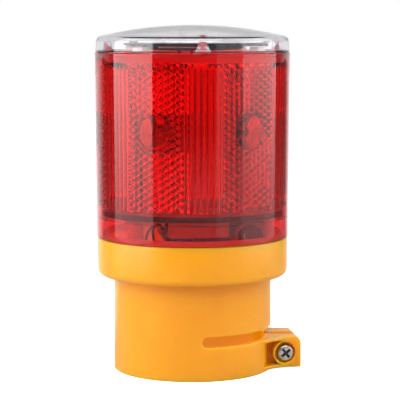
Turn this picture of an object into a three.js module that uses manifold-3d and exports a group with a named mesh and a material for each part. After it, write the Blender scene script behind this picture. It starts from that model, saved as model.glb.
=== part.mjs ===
// A solar barricade warning light: a clear cap over a solar panel, a red prismatic lens lit by six
// light-emitting diodes, and a yellow housing whose split skirt clamps on the end of a post.
// Millimetres, +Z up. The origin is on the lamp's axis, in the plane of the skirt's lower rim.
// The clamp's two ears stand out along +X, and the front of the lamp faces -Y.
import * as THREE from "three";
import { mergeVertices } from "three/addons/utils/BufferGeometryUtils.js";
import Module from "manifold-3d";

const wasm = await Module();
wasm.setup();

// ---------------------------------------------------------------- driving dimensions
// Skirt: the socket that goes over a post, with its lower band split to make a clamp.
const SKIRT = { footR: 36.6, topR: 36.45, boreR: 34.0, boreTopR: 33.8, chamfer: 0.5, flare: 0.8 };
const SLOT = { bottom: 15.3, top: 20.3, end: 0 };
const EAR = { gap: 6.0, face: 11.5, reach: 49.5, bottom: 0.7, top: 15.2, cornerR: 3.5, blendR: 20.0 };
const WEB = { face: 7.2, bottom: 2.2, top: 13.5, bossR: 6.0, start: 30.6, wallR: 35.3 };
const EAR_HOLE = { x: 41.9, z: 7.6, r: 3.0, sinkR: 4.9, sinkFloor: 8.0 };

// Collar: the wide cup above the skirt, which carries the lens.
const COLLAR = { r: 44.05, bottom: 44.0, top: 61.75, boreR: 40.8, edgeR: 3.2, rimChamfer: 0.4 };
const SPIGOT = { r: 42.0, top: 64.3 };
const FLOOR = { bottom: 43.2, top: 46.0, fillet: 1.5 };
const SEAL_GROOVE = { r: 43.4, bottom: 61.2 };
const RIM_SEAL = { innerR: 42.3, r: 43.1, bottom: 61.5, top: 61.85 };

// Lens: an open tube with flutes and six optical windows inside its wall.
const LENS = { footR: 44.55, topR: 45.0, bottom: 62.1, top: 146.8, footBoreR: 42.5, wallBoreR: 43.0 };
const FLANGE = { bottom: 71.0, top: 72.4, boreR: 39.2 };
const LENS_HEAD = { ledge: 145.0, ledgeR: 41.6, boreR: 42.75 };
const OPTICS = { bottom: 77.0, top: 141.75, valleyR: 42.6, ridgeR: 41.6, windowR: 41.3, backR: 43.8 };
const WINDOW = { count: 6, halfAngle: 17.7, first: 30, arcSteps: 5 };
const FLUTES = 7; // prisms in each of the six bands between the windows
const BULLS_EYE = { z: 112.0, r: 7.5, bulge: 2.4, backR: 43.4, rings: 3 };

// Cap: the clear dome over the solar panel.
const CAP = { bottom: 146.85, apex: 159.3, wall: 1.6, domeR: 180 };
const CAP_SIDE = [[44.6, 146.85], [44.45, 151.6], [44.1, 152.8], [43.3, 153.9], [42.4, 154.3]];
const CAP_DOME = [32, 17, 0];
const CAP_SPIGOT = { r: 42.4, innerR: 41.5, bottom: 145.3, top: 147.2 };
const CAP_BORE = { r: 42.8, bottom: 147.8, top: 151.8 };
const PEG = { ring: 39.0, r: 1.6, top: 154.2, baseR: 2.6, baseTop: 147.3, count: 4 };
const LUG = { innerR: 33.5, r: 41.9, halfWidth: 3, top: 146.9, first: 45 };

// Solar panel, the dished carrier under it and the cushions that it stands on.
const PANEL = { half: 31, corner: 3.5, bottom: 151.4, top: 152.5 };
const CARRIER = { half: 30.3, corner: 3.3, bottom: 149.8, top: 151.1 };
const CARRIER_DISH = [[0, 147.1], [12, 147.3], [20, 148.0], [23.5, 149.0]];
const PAD = { innerR: 34, r: 39, halfWidth: 2.5, bottom: 147.2, top: 149.5 };

// Light deck: the plate that stands on the lens's flange and carries the diode strips.
const DECK = { r: 42.1, bottom: 73.4, top: 75.0, wireHoleR: 5.0, screwHoleR: 1.4 };
const DECK_SEAL = { r: 42.1, innerR: 39.5, bottom: 72.6, top: 73.15 };
const PILLAR = { r: 3.5, top: 73.1, pilotR: 1.4, pilotDepth: 14 };
const PILLAR_PLACES = [[-28, -21], [-28, 21], [35.2, 0]];
const STRIP = { innerFace: 29.8, outerFace: 31.0, half: 4, bottom: 75.3, top: 118, tabHalf: 2.5, tabBottom: 73.7 };
const DIODE = { flangeR: 2.9, flange: 1.0, r: 2.4, barrel: 3.6, lift: 0.3 };

// Control board in the collar, on two posts.
const BOARD = { left: -15.2, right: 13.9, front: -28, back: 14, bottom: 62.0, top: 63.6 };
const BOARD_POST = { r: 2.6, top: 61.7, pilotR: 1.05, pilotDepth: 8 };
const BOARD_SCREW_PLACES = [[-12.4, -17.5], [11.1, 11.2]];
const CHIP = { left: -13.4, right: 13.0, front: -27.6, back: -20.8, bottom: 63.9, top: 71.0 };
const CAPACITOR = { x: -9.5, y: 9, r: 3.2, bottom: 63.9, top: 70.5, crimpR: 2.9, crimpZ: 65.2, crimpHalf: 0.4, edge: 0.5 };
const COIL = { x: 8.5, y: 3.5, r: 3.9, bottom: 63.9, top: 69.2, waistR: 2.9, flange: 1.1 };

// Battery, its holder and its two contacts. The cell lies along Y.
const CELL = { r: 7.2, x: 22.8, z: 64.3, front: -26.5, back: 22.4, nubR: 2.7, nub: 1.1, edge: 0.6 };
const CLIP = { innerR: 7.5, r: 8.4, halfLength: 7, openHalfAngle: 42, steps: 14 };
const CRADLE = { half: 4.5, front: -27.7, back: 25.1, bottom: 46.3, top: 56.7, wall: 1.5 };
const CONTACT = { half: 2.6, thickness: 0.4, bottom: 50, top: 67.5 };
const SPRING = { r: 2.7, wireR: 0.3, sides: 6, front: 23.05, back: 24.85, turns: 2, stepsPerTurn: 10 };

// Push switch: its body stands on the floor and its button points down into the post socket.
const SWITCH = { x: -19, y: 3, half: 6.2, bottom: 46.3, top: 57.0, neckR: 5.0, neckBottom: 38.4 };
const SWITCH_BORE = { r: 3.8, top: 48.6, floorHoleR: 5.4 };
const BUTTON = { r: 3.5, bottom: 34.8, top: 46.0, edge: 0.5 };
const SWITCH_NUT = { acrossFlats: 14, boreR: 5.35, bottom: 40.6, top: 42.9 };

// Screws and the clamp nut. The clamp screw is an M4 x 20 pan head.
const CLAMP_SCREW = { x: 42.5, z: 7.15, r: 2.0, headR: 3.8, seat: -8.3, head: 2.7, tip: 11.7 };
const RECESS = { reach: 1.9, half: 0.5, depth: 1.5 };
const CLAMP_NUT = { acrossFlats: 7.0, pocketFlats: 7.6, boreR: 2.25, seat: 5.8, thickness: 3.2, pocketFloor: 5.5 };
const DECK_SCREW = { r: 1.1, headR: 2.8, head: 1.9, seat: 75.3, tip: 62.0 };
const BOARD_SCREW = { r: 0.75, headR: 1.9, head: 1.3, seat: 63.9, tip: 57.5 };

// Leads: each runs through its points, which are [x, y, z].
const LEAD = { r: 0.65, sides: 8, stepsPerSpan: 3 };
const LEAD_PATHS = {
  battery_lead_red: [[19.4, -28.7, 54], [16.5, -28.9, 53.5], [12.5, -27.5, 55], [9, -25, 58.5], [7.5, -23.5, 61.3]],
  battery_lead_black: [[19.4, 26.1, 54], [16.5, 25.7, 53.5], [11, 21, 54], [5, 14, 57.5], [3, 11, 61.3]],
  switch_lead_1: [[-21.5, 1, 57.5], [-21.5, 1, 61], [-19.5, 0, 65.2], [-15.5, -1, 66.6], [-13.2, -2, 64.2]],
  switch_lead_2: [[-17.5, 5, 57.5], [-18, 5, 61], [-18, 4.2, 64.6], [-15.5, 3, 66.6], [-13.2, 2, 64.2]],
  panel_lead_red: [
    [3, 29.4, 149.4], [3, 29.2, 144], [2.4, 24, 134], [1.6, 10, 118], [1.4, 3, 100], [1.4, 0, 82], [1.4, -1, 73],
    [3, -5, 67], [4, -9, 64.2],
  ],
  panel_lead_black: [
    [-3, 29.4, 149.4], [-3, 29.2, 144], [-2.4, 24, 134], [-1.6, 10, 118], [-1.4, 3, 100], [-1.4, 0, 82],
    [-1.4, -1, 73], [-1, -5, 67], [0, -9, 64.2],
  ],
  deck_lead_red: [[-8, -9, 64.2], [-8, -8, 67.5], [-9, -6.5, 70.5], [-9, -6, 73.0]],
  deck_lead_black: [[-5, -9, 64.2], [-5, -8, 67.5], [-6, -6.5, 70.5], [-6, -6, 73.0]],
};

const ROUND = 48; // segments of the large turned pieces
const SMALL_ROUND = 12; // segments of pins, pillars and holes
const PAST = 1; // how far a cutting tool runs past the faces it cuts
const CLEARANCE = 0.3; // between pieces that touch

// ---------------------------------------------------------------- materials
const plastic = (color, roughness) => new THREE.MeshStandardMaterial({ color, roughness, metalness: 0 });
const metal = (color, roughness) => new THREE.MeshStandardMaterial({ color, roughness, metalness: 1 });
const clear = (color, opacity) => {
  const material = plastic(color, 0.05);
  material.transparent = true;
  material.opacity = opacity;
  return material;
};
const MATERIALS = {
  housing: plastic(0xf8a51c, 0.4),
  lens: clear(0xd3121a, 0.6),
  cap: clear(0xeceef2, 0.3),
  cells: plastic(0x10131c, 0.2),
  carrier: plastic(0x131316, 0.35),
  foam: plastic(0xe6c3bf, 0.9),
  deck: plastic(0x1b1a1c, 0.5),
  rubber: plastic(0x141414, 0.8),
  white: plastic(0xf1efe8, 0.5),
  diode: clear(0xfff2dc, 0.6),
  board: plastic(0x14502c, 0.5),
  chip: plastic(0x151515, 0.6),
  sleeve: plastic(0x1f6f4a, 0.35),
  steel: metal(0xc9c9cc, 0.25),
  nickel: metal(0xb9b6ac, 0.35),
  copper: metal(0xb4643a, 0.4),
  red: plastic(0xb01218, 0.5),
  black: plastic(0x17171a, 0.5),
};

// ---------------------------------------------------------------- solids from three.js geometry
const turn = (degrees) => THREE.MathUtils.degToRad(degrees);

// Six times the volume that the triangles enclose, negative when they face inwards.
function signedVolume(position, index) {
  const [a, b, c] = [new THREE.Vector3(), new THREE.Vector3(), new THREE.Vector3()];
  let sum = 0;
  for (let i = 0; i < index.length; i += 3) {
    a.fromArray(position, 3 * index[i]);
    b.fromArray(position, 3 * index[i + 1]);
    c.fromArray(position, 3 * index[i + 2]);
    sum += a.dot(b.cross(c));
  }
  return sum;
}

// A closed three.js geometry as a solid, with its faces pointing out.
function solid(geometry) {
  const bare = new THREE.BufferGeometry();
  bare.setAttribute("position", geometry.attributes.position);
  bare.setIndex(geometry.index);
  const merged = mergeVertices(bare, 1e-4);
  const position = merged.attributes.position.array;
  const index = [];
  for (let i = 0; i < merged.index.count; i += 3) {
    const [a, b, c] = [0, 1, 2].map((k) => merged.index.getX(i + k));
    if (a !== b && b !== c && c !== a) index.push(a, b, c);
  }
  if (signedVolume(position, index) < 0) index.reverse();
  const triVerts = new Uint32Array(index);
  return new wasm.Manifold(new wasm.Mesh({ numProp: 3, vertProperties: new Float32Array(position), triVerts }));
}

// The solid's surface as a geometry that a mesh can hold.
function surface(shape) {
  const mesh = shape.getMesh();
  const position = new Float32Array(mesh.numVert * 3);
  for (let i = 0; i < mesh.numVert; i++) {
    position.set(mesh.vertProperties.subarray(i * mesh.numProp, i * mesh.numProp + 3), 3 * i);
  }
  const geometry = new THREE.BufferGeometry();
  geometry.setAttribute("position", new THREE.BufferAttribute(position, 3));
  geometry.setIndex(new THREE.BufferAttribute(new Uint32Array(mesh.triVerts), 1));
  geometry.computeVertexNormals();
  return geometry;
}

// The turned geometry of a profile of [radius, height] points. It runs from axis to axis, or is closed here.
function lathe(profile, segments) {
  const onAxis = profile[0][0] === 0 && profile.at(-1)[0] === 0;
  const points = (onAxis ? profile : [...profile, profile[0]]).map(([r, h]) => new THREE.Vector2(r, h));
  return new THREE.LatheGeometry(points, segments);
}

// A profile turned about Z, standing at (x, y).
const revolve = (profile, segments = ROUND, x = 0, y = 0) =>
  solid(lathe(profile, segments).rotateX(Math.PI / 2).translate(x, y, 0));

// A profile turned about Y, at (x, z), and then swung about Z by an angle in degrees.
const revolveY = (profile, segments = SMALL_ROUND, x = 0, z = 0, angle = 0) =>
  solid(lathe(profile, segments).translate(x, 0, z).rotateZ(turn(angle)));

// A round bar from one height to another, standing at (x, y).
const rod = (r, bottom, top, x = 0, y = 0, segments = SMALL_ROUND) =>
  revolve([[0, bottom], [r, bottom], [r, top], [0, top]], segments, x, y);

// A round bar along Y, at (x, z).
const barY = (r, front, back, x, z, segments = SMALL_ROUND) =>
  revolveY([[0, front], [r, front], [r, back], [0, back]], segments, x, z);

// A hexagonal bar along Y, with two of its corners pointing up and down.
const hexBarY = (acrossFlats, front, back, x, z) => barY(acrossFlats / Math.sqrt(3), front, back, x, z, 6);

// A tube with square ends.
const tube = (innerR, r, bottom, top) => revolve([[innerR, bottom], [r, bottom], [r, top], [innerR, top]]);

// A box between two corners, swung about Z by an angle in degrees.
function box([x0, y0, z0], [x1, y1, z1], angle = 0) {
  const geometry = new THREE.BoxGeometry(x1 - x0, y1 - y0, z1 - z0);
  return solid(geometry.translate((x0 + x1) / 2, (y0 + y1) / 2, (z0 + z1) / 2).rotateZ(turn(angle)));
}

// A flat outline of [x, y] points, with an optional hole, raised from one height to another.
function raise(outline, bottom, top, hole = null) {
  const shape = new THREE.Shape(outline.map(([x, y]) => new THREE.Vector2(x, y)));
  if (hole) shape.holes.push(new THREE.Path(hole.map(([x, y]) => new THREE.Vector2(x, y))));
  return solid(new THREE.ExtrudeGeometry(shape, { depth: top - bottom, bevelEnabled: false }).translate(0, 0, bottom));
}

// A round wire through a list of [x, y, z] points.
function wire(points, r, sides, steps) {
  const circle = new THREE.Shape(arc(0, 0, r, 0, 360, sides).slice(0, -1).map(([x, y]) => new THREE.Vector2(x, y)));
  const extrudePath = new THREE.CatmullRomCurve3(points.map((point) => new THREE.Vector3(...point)));
  return solid(new THREE.ExtrudeGeometry(circle, { steps, bevelEnabled: false, extrudePath }));
}

// The points of an arc about (x, y), by angle in degrees.
function arc(x, y, r, from, to, steps) {
  return Array.from({ length: steps + 1 }, (_, i) => {
    const angle = turn(from + ((to - from) * i) / steps);
    return [x + r * Math.cos(angle), y + r * Math.sin(angle)];
  });
}

// Angles in degrees of things spaced evenly about the axis.
const evenly = (count, first = 0) => Array.from({ length: count }, (_, i) => first + (360 * i) / count);

const join = (...shapes) => shapes.reduce((whole, next) => whole.add(next));
const cut = (whole, ...tools) => tools.reduce((rest, tool) => rest.subtract(tool), whole);

// ---------------------------------------------------------------- the assembly
const light = new THREE.Group();

// Adds one sub-part, swung about the lamp's axis by an angle in degrees.
function part(name, shape, material, angle = 0) {
  const mesh = new THREE.Mesh(surface(shape), material.clone());
  mesh.name = name;
  mesh.rotation.z = turn(angle);
  light.add(mesh);
}

// ---------------------------------------------------------------- housing
function housingShell() {
  const { r, bottom, top, boreR, edgeR, rimChamfer } = COLLAR;
  return revolve([
    [0, FLOOR.bottom],
    [SKIRT.boreTopR, FLOOR.bottom],
    [SKIRT.boreR, 0],
    [SKIRT.footR - SKIRT.chamfer, 0],
    [SKIRT.footR, SKIRT.chamfer],
    [SKIRT.topR, bottom - SKIRT.flare],
    [SKIRT.topR + SKIRT.flare, bottom],
    ...arc(r - edgeR, bottom + edgeR, edgeR, -90, 0, 3),
    [r, top - rimChamfer],
    [r - rimChamfer, top],
    [SEAL_GROOVE.r, top],
    [SEAL_GROOVE.r, SEAL_GROOVE.bottom],
    [SPIGOT.r, SEAL_GROOVE.bottom],
    [SPIGOT.r, SPIGOT.top],
    [boreR, SPIGOT.top],
    [boreR, FLOOR.top + FLOOR.fillet],
    [boreR - FLOOR.fillet, FLOOR.top],
    [0, FLOOR.top],
  ]);
}

// One ear of the clamp: a block that flows out of the skirt. The side is -1 in front and 1 behind.
function ear(side) {
  const { face, reach, blendR } = EAR;
  const blendY = face + blendR;
  const blendX = Math.sqrt((SKIRT.footR + blendR) ** 2 - blendY ** 2);
  const fromSkirt = 180 - THREE.MathUtils.radToDeg(Math.atan2(blendY, blendX));
  const root = (SKIRT.boreR + SKIRT.footR) / 2 / (SKIRT.footR + blendR);
  const outline = [
    [SKIRT.boreR, -EAR.gap / 2],
    [blendX * root, -blendY * root],
    ...arc(blendX, -blendY, blendR, fromSkirt, 90, 6),
    [reach, -face],
    [reach, -EAR.gap / 2],
  ];
  return raise(outline.map(([x, y]) => [x, -side * y]), EAR.bottom, EAR.top);
}

// What is cut off the ears' top outer corners to round them, seen along Y.
function earCorners() {
  const { face, reach, top, cornerR } = EAR;
  const [x, z] = [reach - cornerR, top - cornerR];
  const corner = box([x, -face - PAST, z], [reach + PAST, face + PAST, top + PAST]);
  return cut(corner, barY(cornerR, -face - 2 * PAST, face + 2 * PAST, x, z, 24));
}

// The pocket in an ear's outer face, between its ribs and round the boss of the screw hole.
function earPocket(side) {
  const outer = SKIRT.footR;
  const [near, far] = side < 0 ? [-outer, -WEB.face] : [WEB.face, outer];
  const block = box([WEB.start, near, WEB.bottom], [EAR_HOLE.x, far, WEB.top]);
  const boss = barY(WEB.bossR, -EAR.face, EAR.face, EAR_HOLE.x, EAR_HOLE.z, 2 * SMALL_ROUND);
  return cut(block, rod(WEB.wallR, 0, WEB.top + PAST, 0, 0, ROUND), boss);
}

function housing() {
  const past = EAR.reach + PAST;
  const slotR = (SLOT.top - SLOT.bottom) / 2;
  const slotEnd = SLOT.end + slotR;
  const pillars = PILLAR_PLACES.map(([x, y]) => rod(PILLAR.r, FLOOR.top - PAST, PILLAR.top, x, y));
  const pilots = PILLAR_PLACES.map(([x, y]) =>
    rod(PILLAR.pilotR, PILLAR.top - PILLAR.pilotDepth, PILLAR.top + PAST, x, y));
  const posts = BOARD_SCREW_PLACES.map(([x, y]) => rod(BOARD_POST.r, FLOOR.top - PAST, BOARD_POST.top, x, y));
  const postPilots = BOARD_SCREW_PLACES.map(([x, y]) =>
    rod(BOARD_POST.pilotR, BOARD_POST.top - BOARD_POST.pilotDepth, BOARD_POST.top + PAST, x, y));
  return cut(
    join(housingShell(), ear(-1), ear(1), ...pillars, ...posts),
    ...pilots,
    ...postPilots,
    box([slotEnd, -past, SLOT.bottom], [past, past, SLOT.top]),
    barY(slotR, -past, past, slotEnd, (SLOT.bottom + SLOT.top) / 2),
    box([SKIRT.boreR - EAR.gap, -EAR.gap / 2, -PAST], [past, EAR.gap / 2, SLOT.bottom + PAST]),
    earCorners(),
    earPocket(-1),
    earPocket(1),
    barY(EAR_HOLE.r, -past, past, EAR_HOLE.x, EAR_HOLE.z, 2 * SMALL_ROUND),
    barY(EAR_HOLE.sinkR, -past, -EAR_HOLE.sinkFloor, EAR_HOLE.x, EAR_HOLE.z, 2 * SMALL_ROUND),
    hexBarY(CLAMP_NUT.pocketFlats, CLAMP_NUT.pocketFloor, past, CLAMP_SCREW.x, CLAMP_SCREW.z),
    rod(SWITCH_BORE.floorHoleR, FLOOR.bottom - PAST, FLOOR.top + PAST, SWITCH.x, SWITCH.y),
  );
}

// ---------------------------------------------------------------- lens
function lensWall() {
  return revolve([
    [LENS.footBoreR, LENS.bottom],
    [LENS.footR, LENS.bottom],
    [LENS.topR, LENS.top],
    [LENS_HEAD.boreR, LENS.top],
    [LENS_HEAD.boreR, LENS_HEAD.ledge],
    [LENS_HEAD.ledgeR, LENS_HEAD.ledge],
    [LENS_HEAD.ledgeR, OPTICS.top],
    [LENS.wallBoreR, OPTICS.top],
    [LENS.wallBoreR, FLANGE.top],
    [FLANGE.boreR, FLANGE.top],
    [FLANGE.boreR, FLANGE.bottom],
    [LENS.footBoreR, FLANGE.bottom],
  ]);
}

// The inner outline of the optics: smooth arcs at the windows, with flutes between them.
function opticsOutline() {
  const half = WINDOW.halfAngle;
  const band = 360 / WINDOW.count - 2 * half;
  const window = (centre) => arc(0, 0, OPTICS.windowR, centre - half, centre + half, WINDOW.arcSteps);
  const flutes = (start) => Array.from({ length: 2 * FLUTES - 1 }, (_, i) => {
    const r = i % 2 ? OPTICS.valleyR : OPTICS.ridgeR;
    const angle = turn(start + (band * (i + 1)) / (2 * FLUTES));
    return [r * Math.cos(angle), r * Math.sin(angle)];
  });
  // Angles here run from +X, so a window that is a whole multiple from the front stands at first - 90.
  return evenly(WINDOW.count, WINDOW.first - 90).flatMap((centre) => [...window(centre), ...flutes(centre + half)]);
}

// A plano-convex lens in the middle of a window, bulging towards the diode behind it.
function bullsEye(angle) {
  const { r, bulge, backR, rings, z } = BULLS_EYE;
  const curveR = (r * r + bulge * bulge) / (2 * bulge);
  const centre = bulge - OPTICS.windowR - curveR;
  const cheek = Array.from({ length: rings + 1 }, (_, i) => (r * i) / rings);
  const profile = cheek.map((at) => [at, centre + Math.sqrt(curveR ** 2 - at ** 2)]);
  return revolveY([...profile, [r, -backR], [0, -backR]], SMALL_ROUND, 0, z, angle);
}

function lens() {
  const back = arc(0, 0, OPTICS.backR, 0, 360, ROUND).slice(0, -1);
  const optics = raise(back, OPTICS.bottom, OPTICS.top, opticsOutline());
  return join(lensWall(), optics, ...evenly(WINDOW.count, WINDOW.first).map(bullsEye));
}

// ---------------------------------------------------------------- cap and solar panel
function cap() {
  const domeAt = (r, r0) => [r, r0 - r ** 2 / (2 * CAP.domeR)];
  const outer = CAP_DOME.map((r) => domeAt(r, CAP.apex));
  const inner = [...CAP_DOME].reverse().map((r) => domeAt(r, CAP.apex - CAP.wall));
  const shell = revolve([
    ...inner,
    [CAP_BORE.r - CAP.wall, domeAt(CAP_BORE.r - CAP.wall, CAP.apex - CAP.wall)[1]],
    [CAP_BORE.r, CAP_BORE.top],
    [CAP_BORE.r, CAP_BORE.bottom],
    [CAP_SPIGOT.innerR, CAP_SPIGOT.top],
    [CAP_SPIGOT.innerR, CAP_SPIGOT.bottom],
    [CAP_SPIGOT.r, CAP_SPIGOT.bottom],
    [CAP_SPIGOT.r, CAP.bottom],
    ...CAP_SIDE,
    ...outer,
  ]);
  const pegs = evenly(PEG.count).flatMap((angle) => {
    const [x, y] = [PEG.ring * Math.sin(turn(angle)), -PEG.ring * Math.cos(turn(angle))];
    return [
      rod(PEG.r, CAP_SPIGOT.bottom, PEG.top, x, y, 8),
      rod(PEG.baseR, CAP_SPIGOT.bottom, PEG.baseTop, x, y, 8),
    ];
  });
  const lugs = evenly(4, LUG.first).map((angle) =>
    box([-LUG.halfWidth, -LUG.r, CAP_SPIGOT.bottom], [LUG.halfWidth, -LUG.innerR, LUG.top], angle));
  return join(shell, ...pegs, ...lugs);
}

// A square plate with its corners cut off.
function cutSquare({ half, corner, bottom, top }) {
  const corners = [[half, half - corner], [half - corner, half]];
  const others = [[corner - half, half], [-half, half - corner]];
  const flipped = [...corners, ...others].map(([x, y]) => [-x, -y]);
  return raise([...corners, ...others, ...flipped], bottom, top);
}

// The plate under the panel, with a shallow dish below it.
function panelCarrier() {
  const rim = CARRIER_DISH.at(-1)[0];
  const inside = CARRIER.bottom + CLEARANCE;
  return join(cutSquare(CARRIER), revolve([...CARRIER_DISH, [rim, inside], [0, inside]], 32));
}

function padsUnderPanel() {
  evenly(4, LUG.first).forEach((angle, i) => {
    const shape = box([-PAD.halfWidth, -PAD.r, PAD.bottom], [PAD.halfWidth, -PAD.innerR, PAD.top]);
    part(`panel_pad_${i + 1}`, shape, MATERIALS.foam, angle);
  });
}

// ---------------------------------------------------------------- light deck and diodes
function lightDeck() {
  const slots = evenly(WINDOW.count, WINDOW.first).map((angle) => box(
    [-STRIP.tabHalf - CLEARANCE, -STRIP.outerFace - CLEARANCE, DECK.bottom - PAST],
    [STRIP.tabHalf + CLEARANCE, CLEARANCE - STRIP.innerFace, DECK.top + PAST],
    angle,
  ));
  const screwHoles = PILLAR_PLACES.map(([x, y]) =>
    rod(DECK.screwHoleR, DECK.bottom - PAST, DECK.top + PAST, x, y));
  return cut(
    rod(DECK.r, DECK.bottom, DECK.top, 0, 0, ROUND),
    rod(DECK.wireHoleR, DECK.bottom - PAST, DECK.top + PAST),
    ...slots,
    ...screwHoles,
  );
}

function strip() {
  const { innerFace, outerFace, half, bottom, top, tabHalf, tabBottom } = STRIP;
  return join(
    box([-half, -outerFace, bottom], [half, -innerFace, top]),
    box([-tabHalf, -outerFace, tabBottom], [tabHalf, -innerFace, bottom + PAST]),
  );
}

// A five-millimetre diode that points out through the window in front of it.
function diode() {
  const base = -STRIP.outerFace - DIODE.lift;
  const shoulder = base - DIODE.flange;
  const crown = shoulder - DIODE.barrel;
  const dome = arc(0, crown, DIODE.r, 0, -90, 3).map(([r, y], i, all) => [i === all.length - 1 ? 0 : r, y]);
  const profile = [[0, base], [DIODE.flangeR, base], [DIODE.flangeR, shoulder], [DIODE.r, shoulder], ...dome];
  return revolveY(profile, 10, 0, BULLS_EYE.z);
}

function stripsAndDiodes() {
  evenly(WINDOW.count, WINDOW.first).forEach((angle, i) => {
    part(`led_strip_${i + 1}`, strip(), MATERIALS.deck, angle);
    part(`led_${i + 1}`, diode(), MATERIALS.diode, angle);
  });
}

// ---------------------------------------------------------------- electronics in the collar
function board() {
  const plate = box([BOARD.left, BOARD.front, BOARD.bottom], [BOARD.right, BOARD.back, BOARD.top]);
  const holes = BOARD_SCREW_PLACES.map(([x, y]) =>
    rod(BOARD_POST.pilotR, BOARD.bottom - PAST, BOARD.top + PAST, x, y));
  return cut(plate, ...holes);
}

const chip = () => box([CHIP.left, CHIP.front, CHIP.bottom], [CHIP.right, CHIP.back, CHIP.top]);

function capacitor() {
  const { r, crimpR, crimpZ, crimpHalf, edge, bottom, top, x, y } = CAPACITOR;
  const crimp = [[r, crimpZ - crimpHalf], [crimpR, crimpZ], [r, crimpZ + crimpHalf]];
  const shoulder = [[r, top - edge], [r - edge, top]];
  return revolve([[0, bottom], [r, bottom], ...crimp, ...shoulder, [0, top]], SMALL_ROUND, x, y);
}

function coil() {
  const { r, waistR, flange, bottom, top, x, y } = COIL;
  const waist = [[r, bottom + flange], [waistR, bottom + flange], [waistR, top - flange], [r, top - flange]];
  return revolve([[0, bottom], [r, bottom], ...waist, [r, top], [0, top]], SMALL_ROUND, x, y);
}

function battery() {
  const { r, x, z, front, back, nub, nubR, edge } = CELL;
  return revolveY([
    [0, front - nub],
    [nubR, front - nub],
    [nubR, front],
    [r - edge, front],
    [r, front + edge],
    [r, back - edge],
    [r - edge, back],
    [0, back],
  ], 24, x, z);
}

// A block with a trough in its top and a spring clip round the cell's middle.
function batteryHolder() {
  const { half, front, back, bottom, top, wall } = CRADLE;
  const { innerR, r, halfLength, openHalfAngle, steps } = CLIP;
  const [from, to] = [90 + openHalfAngle, 450 - openHalfAngle];
  const ring = [...arc(0, 0, r, from, to, steps), ...arc(0, 0, innerR, to, from, steps)];
  const profile = new THREE.Shape(ring.map(([x, z]) => new THREE.Vector2(x, z)));
  const clip = new THREE.ExtrudeGeometry(profile, { depth: 2 * halfLength, bevelEnabled: false });
  const block = cut(
    box([CELL.x - half, front, bottom], [CELL.x + half, back, top]),
    box([CELL.x - half + wall, front + wall, bottom - PAST], [CELL.x + half - wall, back - wall, top - 2 * wall]),
  );
  return join(block, solid(clip.translate(0, 0, -halfLength).rotateX(Math.PI / 2).translate(CELL.x, 0, CELL.z)));
}

function contactPlate(y) {
  const { half, thickness, bottom, top } = CONTACT;
  return box([CELL.x - half, y, bottom], [CELL.x + half, y + thickness, top]);
}

function batterySpring() {
  const { r, wireR, sides, front, back, turns, stepsPerTurn } = SPRING;
  const steps = turns * stepsPerTurn;
  const points = Array.from({ length: steps + 1 }, (_, i) => {
    const angle = (2 * Math.PI * i) / stepsPerTurn;
    const y = front + ((back - front) * i) / steps;
    return [CELL.x + r * Math.cos(angle), y, CELL.z + r * Math.sin(angle)];
  });
  return wire(points, wireR, sides, steps);
}

// ---------------------------------------------------------------- switch in the floor
function switchBody() {
  const { x, y, half, bottom, top, neckR, neckBottom } = SWITCH;
  return cut(
    join(
      box([x - half, y - half, bottom], [x + half, y + half, top]),
      rod(neckR, neckBottom, bottom + PAST, x, y, 2 * SMALL_ROUND),
    ),
    rod(SWITCH_BORE.r, neckBottom - PAST, SWITCH_BORE.top, x, y, 2 * SMALL_ROUND),
  );
}

function switchButton() {
  const { r, bottom, top, edge } = BUTTON;
  const profile = [[0, bottom], [r - edge, bottom], [r, bottom + edge], [r, top], [0, top]];
  return revolve(profile, 2 * SMALL_ROUND, SWITCH.x, SWITCH.y);
}

function switchNut() {
  const { acrossFlats, boreR, bottom, top } = SWITCH_NUT;
  const hexagon = rod(acrossFlats / Math.sqrt(3), bottom, top, SWITCH.x, SWITCH.y, 6);
  return cut(hexagon, rod(boreR, bottom - PAST, top + PAST, SWITCH.x, SWITCH.y, 2 * SMALL_ROUND));
}

// ---------------------------------------------------------------- screws and nuts
// A pan-head screw that points down at (x, y).
function downScrew({ r, headR, head, seat, tip }, [x, y]) {
  const crown = [[headR, seat], [headR, seat + head / 2], [headR * 0.8, seat + head]];
  return revolve([[0, tip], [r * 0.5, tip], [r, tip + r], [r, seat], ...crown, [0, seat + head]], SMALL_ROUND, x, y);
}

// The clamp screw lies along Y with its cross-recessed head in front.
function clampScrew() {
  const { x, z, r, headR, seat, head, tip } = CLAMP_SCREW;
  const face = seat - head;
  const body = revolveY([
    [0, face],
    [headR * 0.6, face],
    [headR * 0.9, face + head * 0.25],
    [headR, face + head * 0.55],
    [headR, seat],
    [r, seat],
    [r, tip - r / 2],
    [r / 2, tip],
    [0, tip],
  ], 2 * SMALL_ROUND, x, z);
  const { reach, half, depth } = RECESS;
  return cut(
    body,
    box([x - reach, face - PAST, z - half], [x + reach, face + depth, z + half]),
    box([x - half, face - PAST, z - reach], [x + half, face + depth, z + reach]),
  );
}

function clampNut() {
  const { acrossFlats, boreR, seat, thickness } = CLAMP_NUT;
  const { x, z } = CLAMP_SCREW;
  const hexagon = hexBarY(acrossFlats, seat, seat + thickness, x, z);
  return cut(hexagon, barY(boreR, seat - PAST, seat + thickness + PAST, x, z, 2 * SMALL_ROUND));
}

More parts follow.
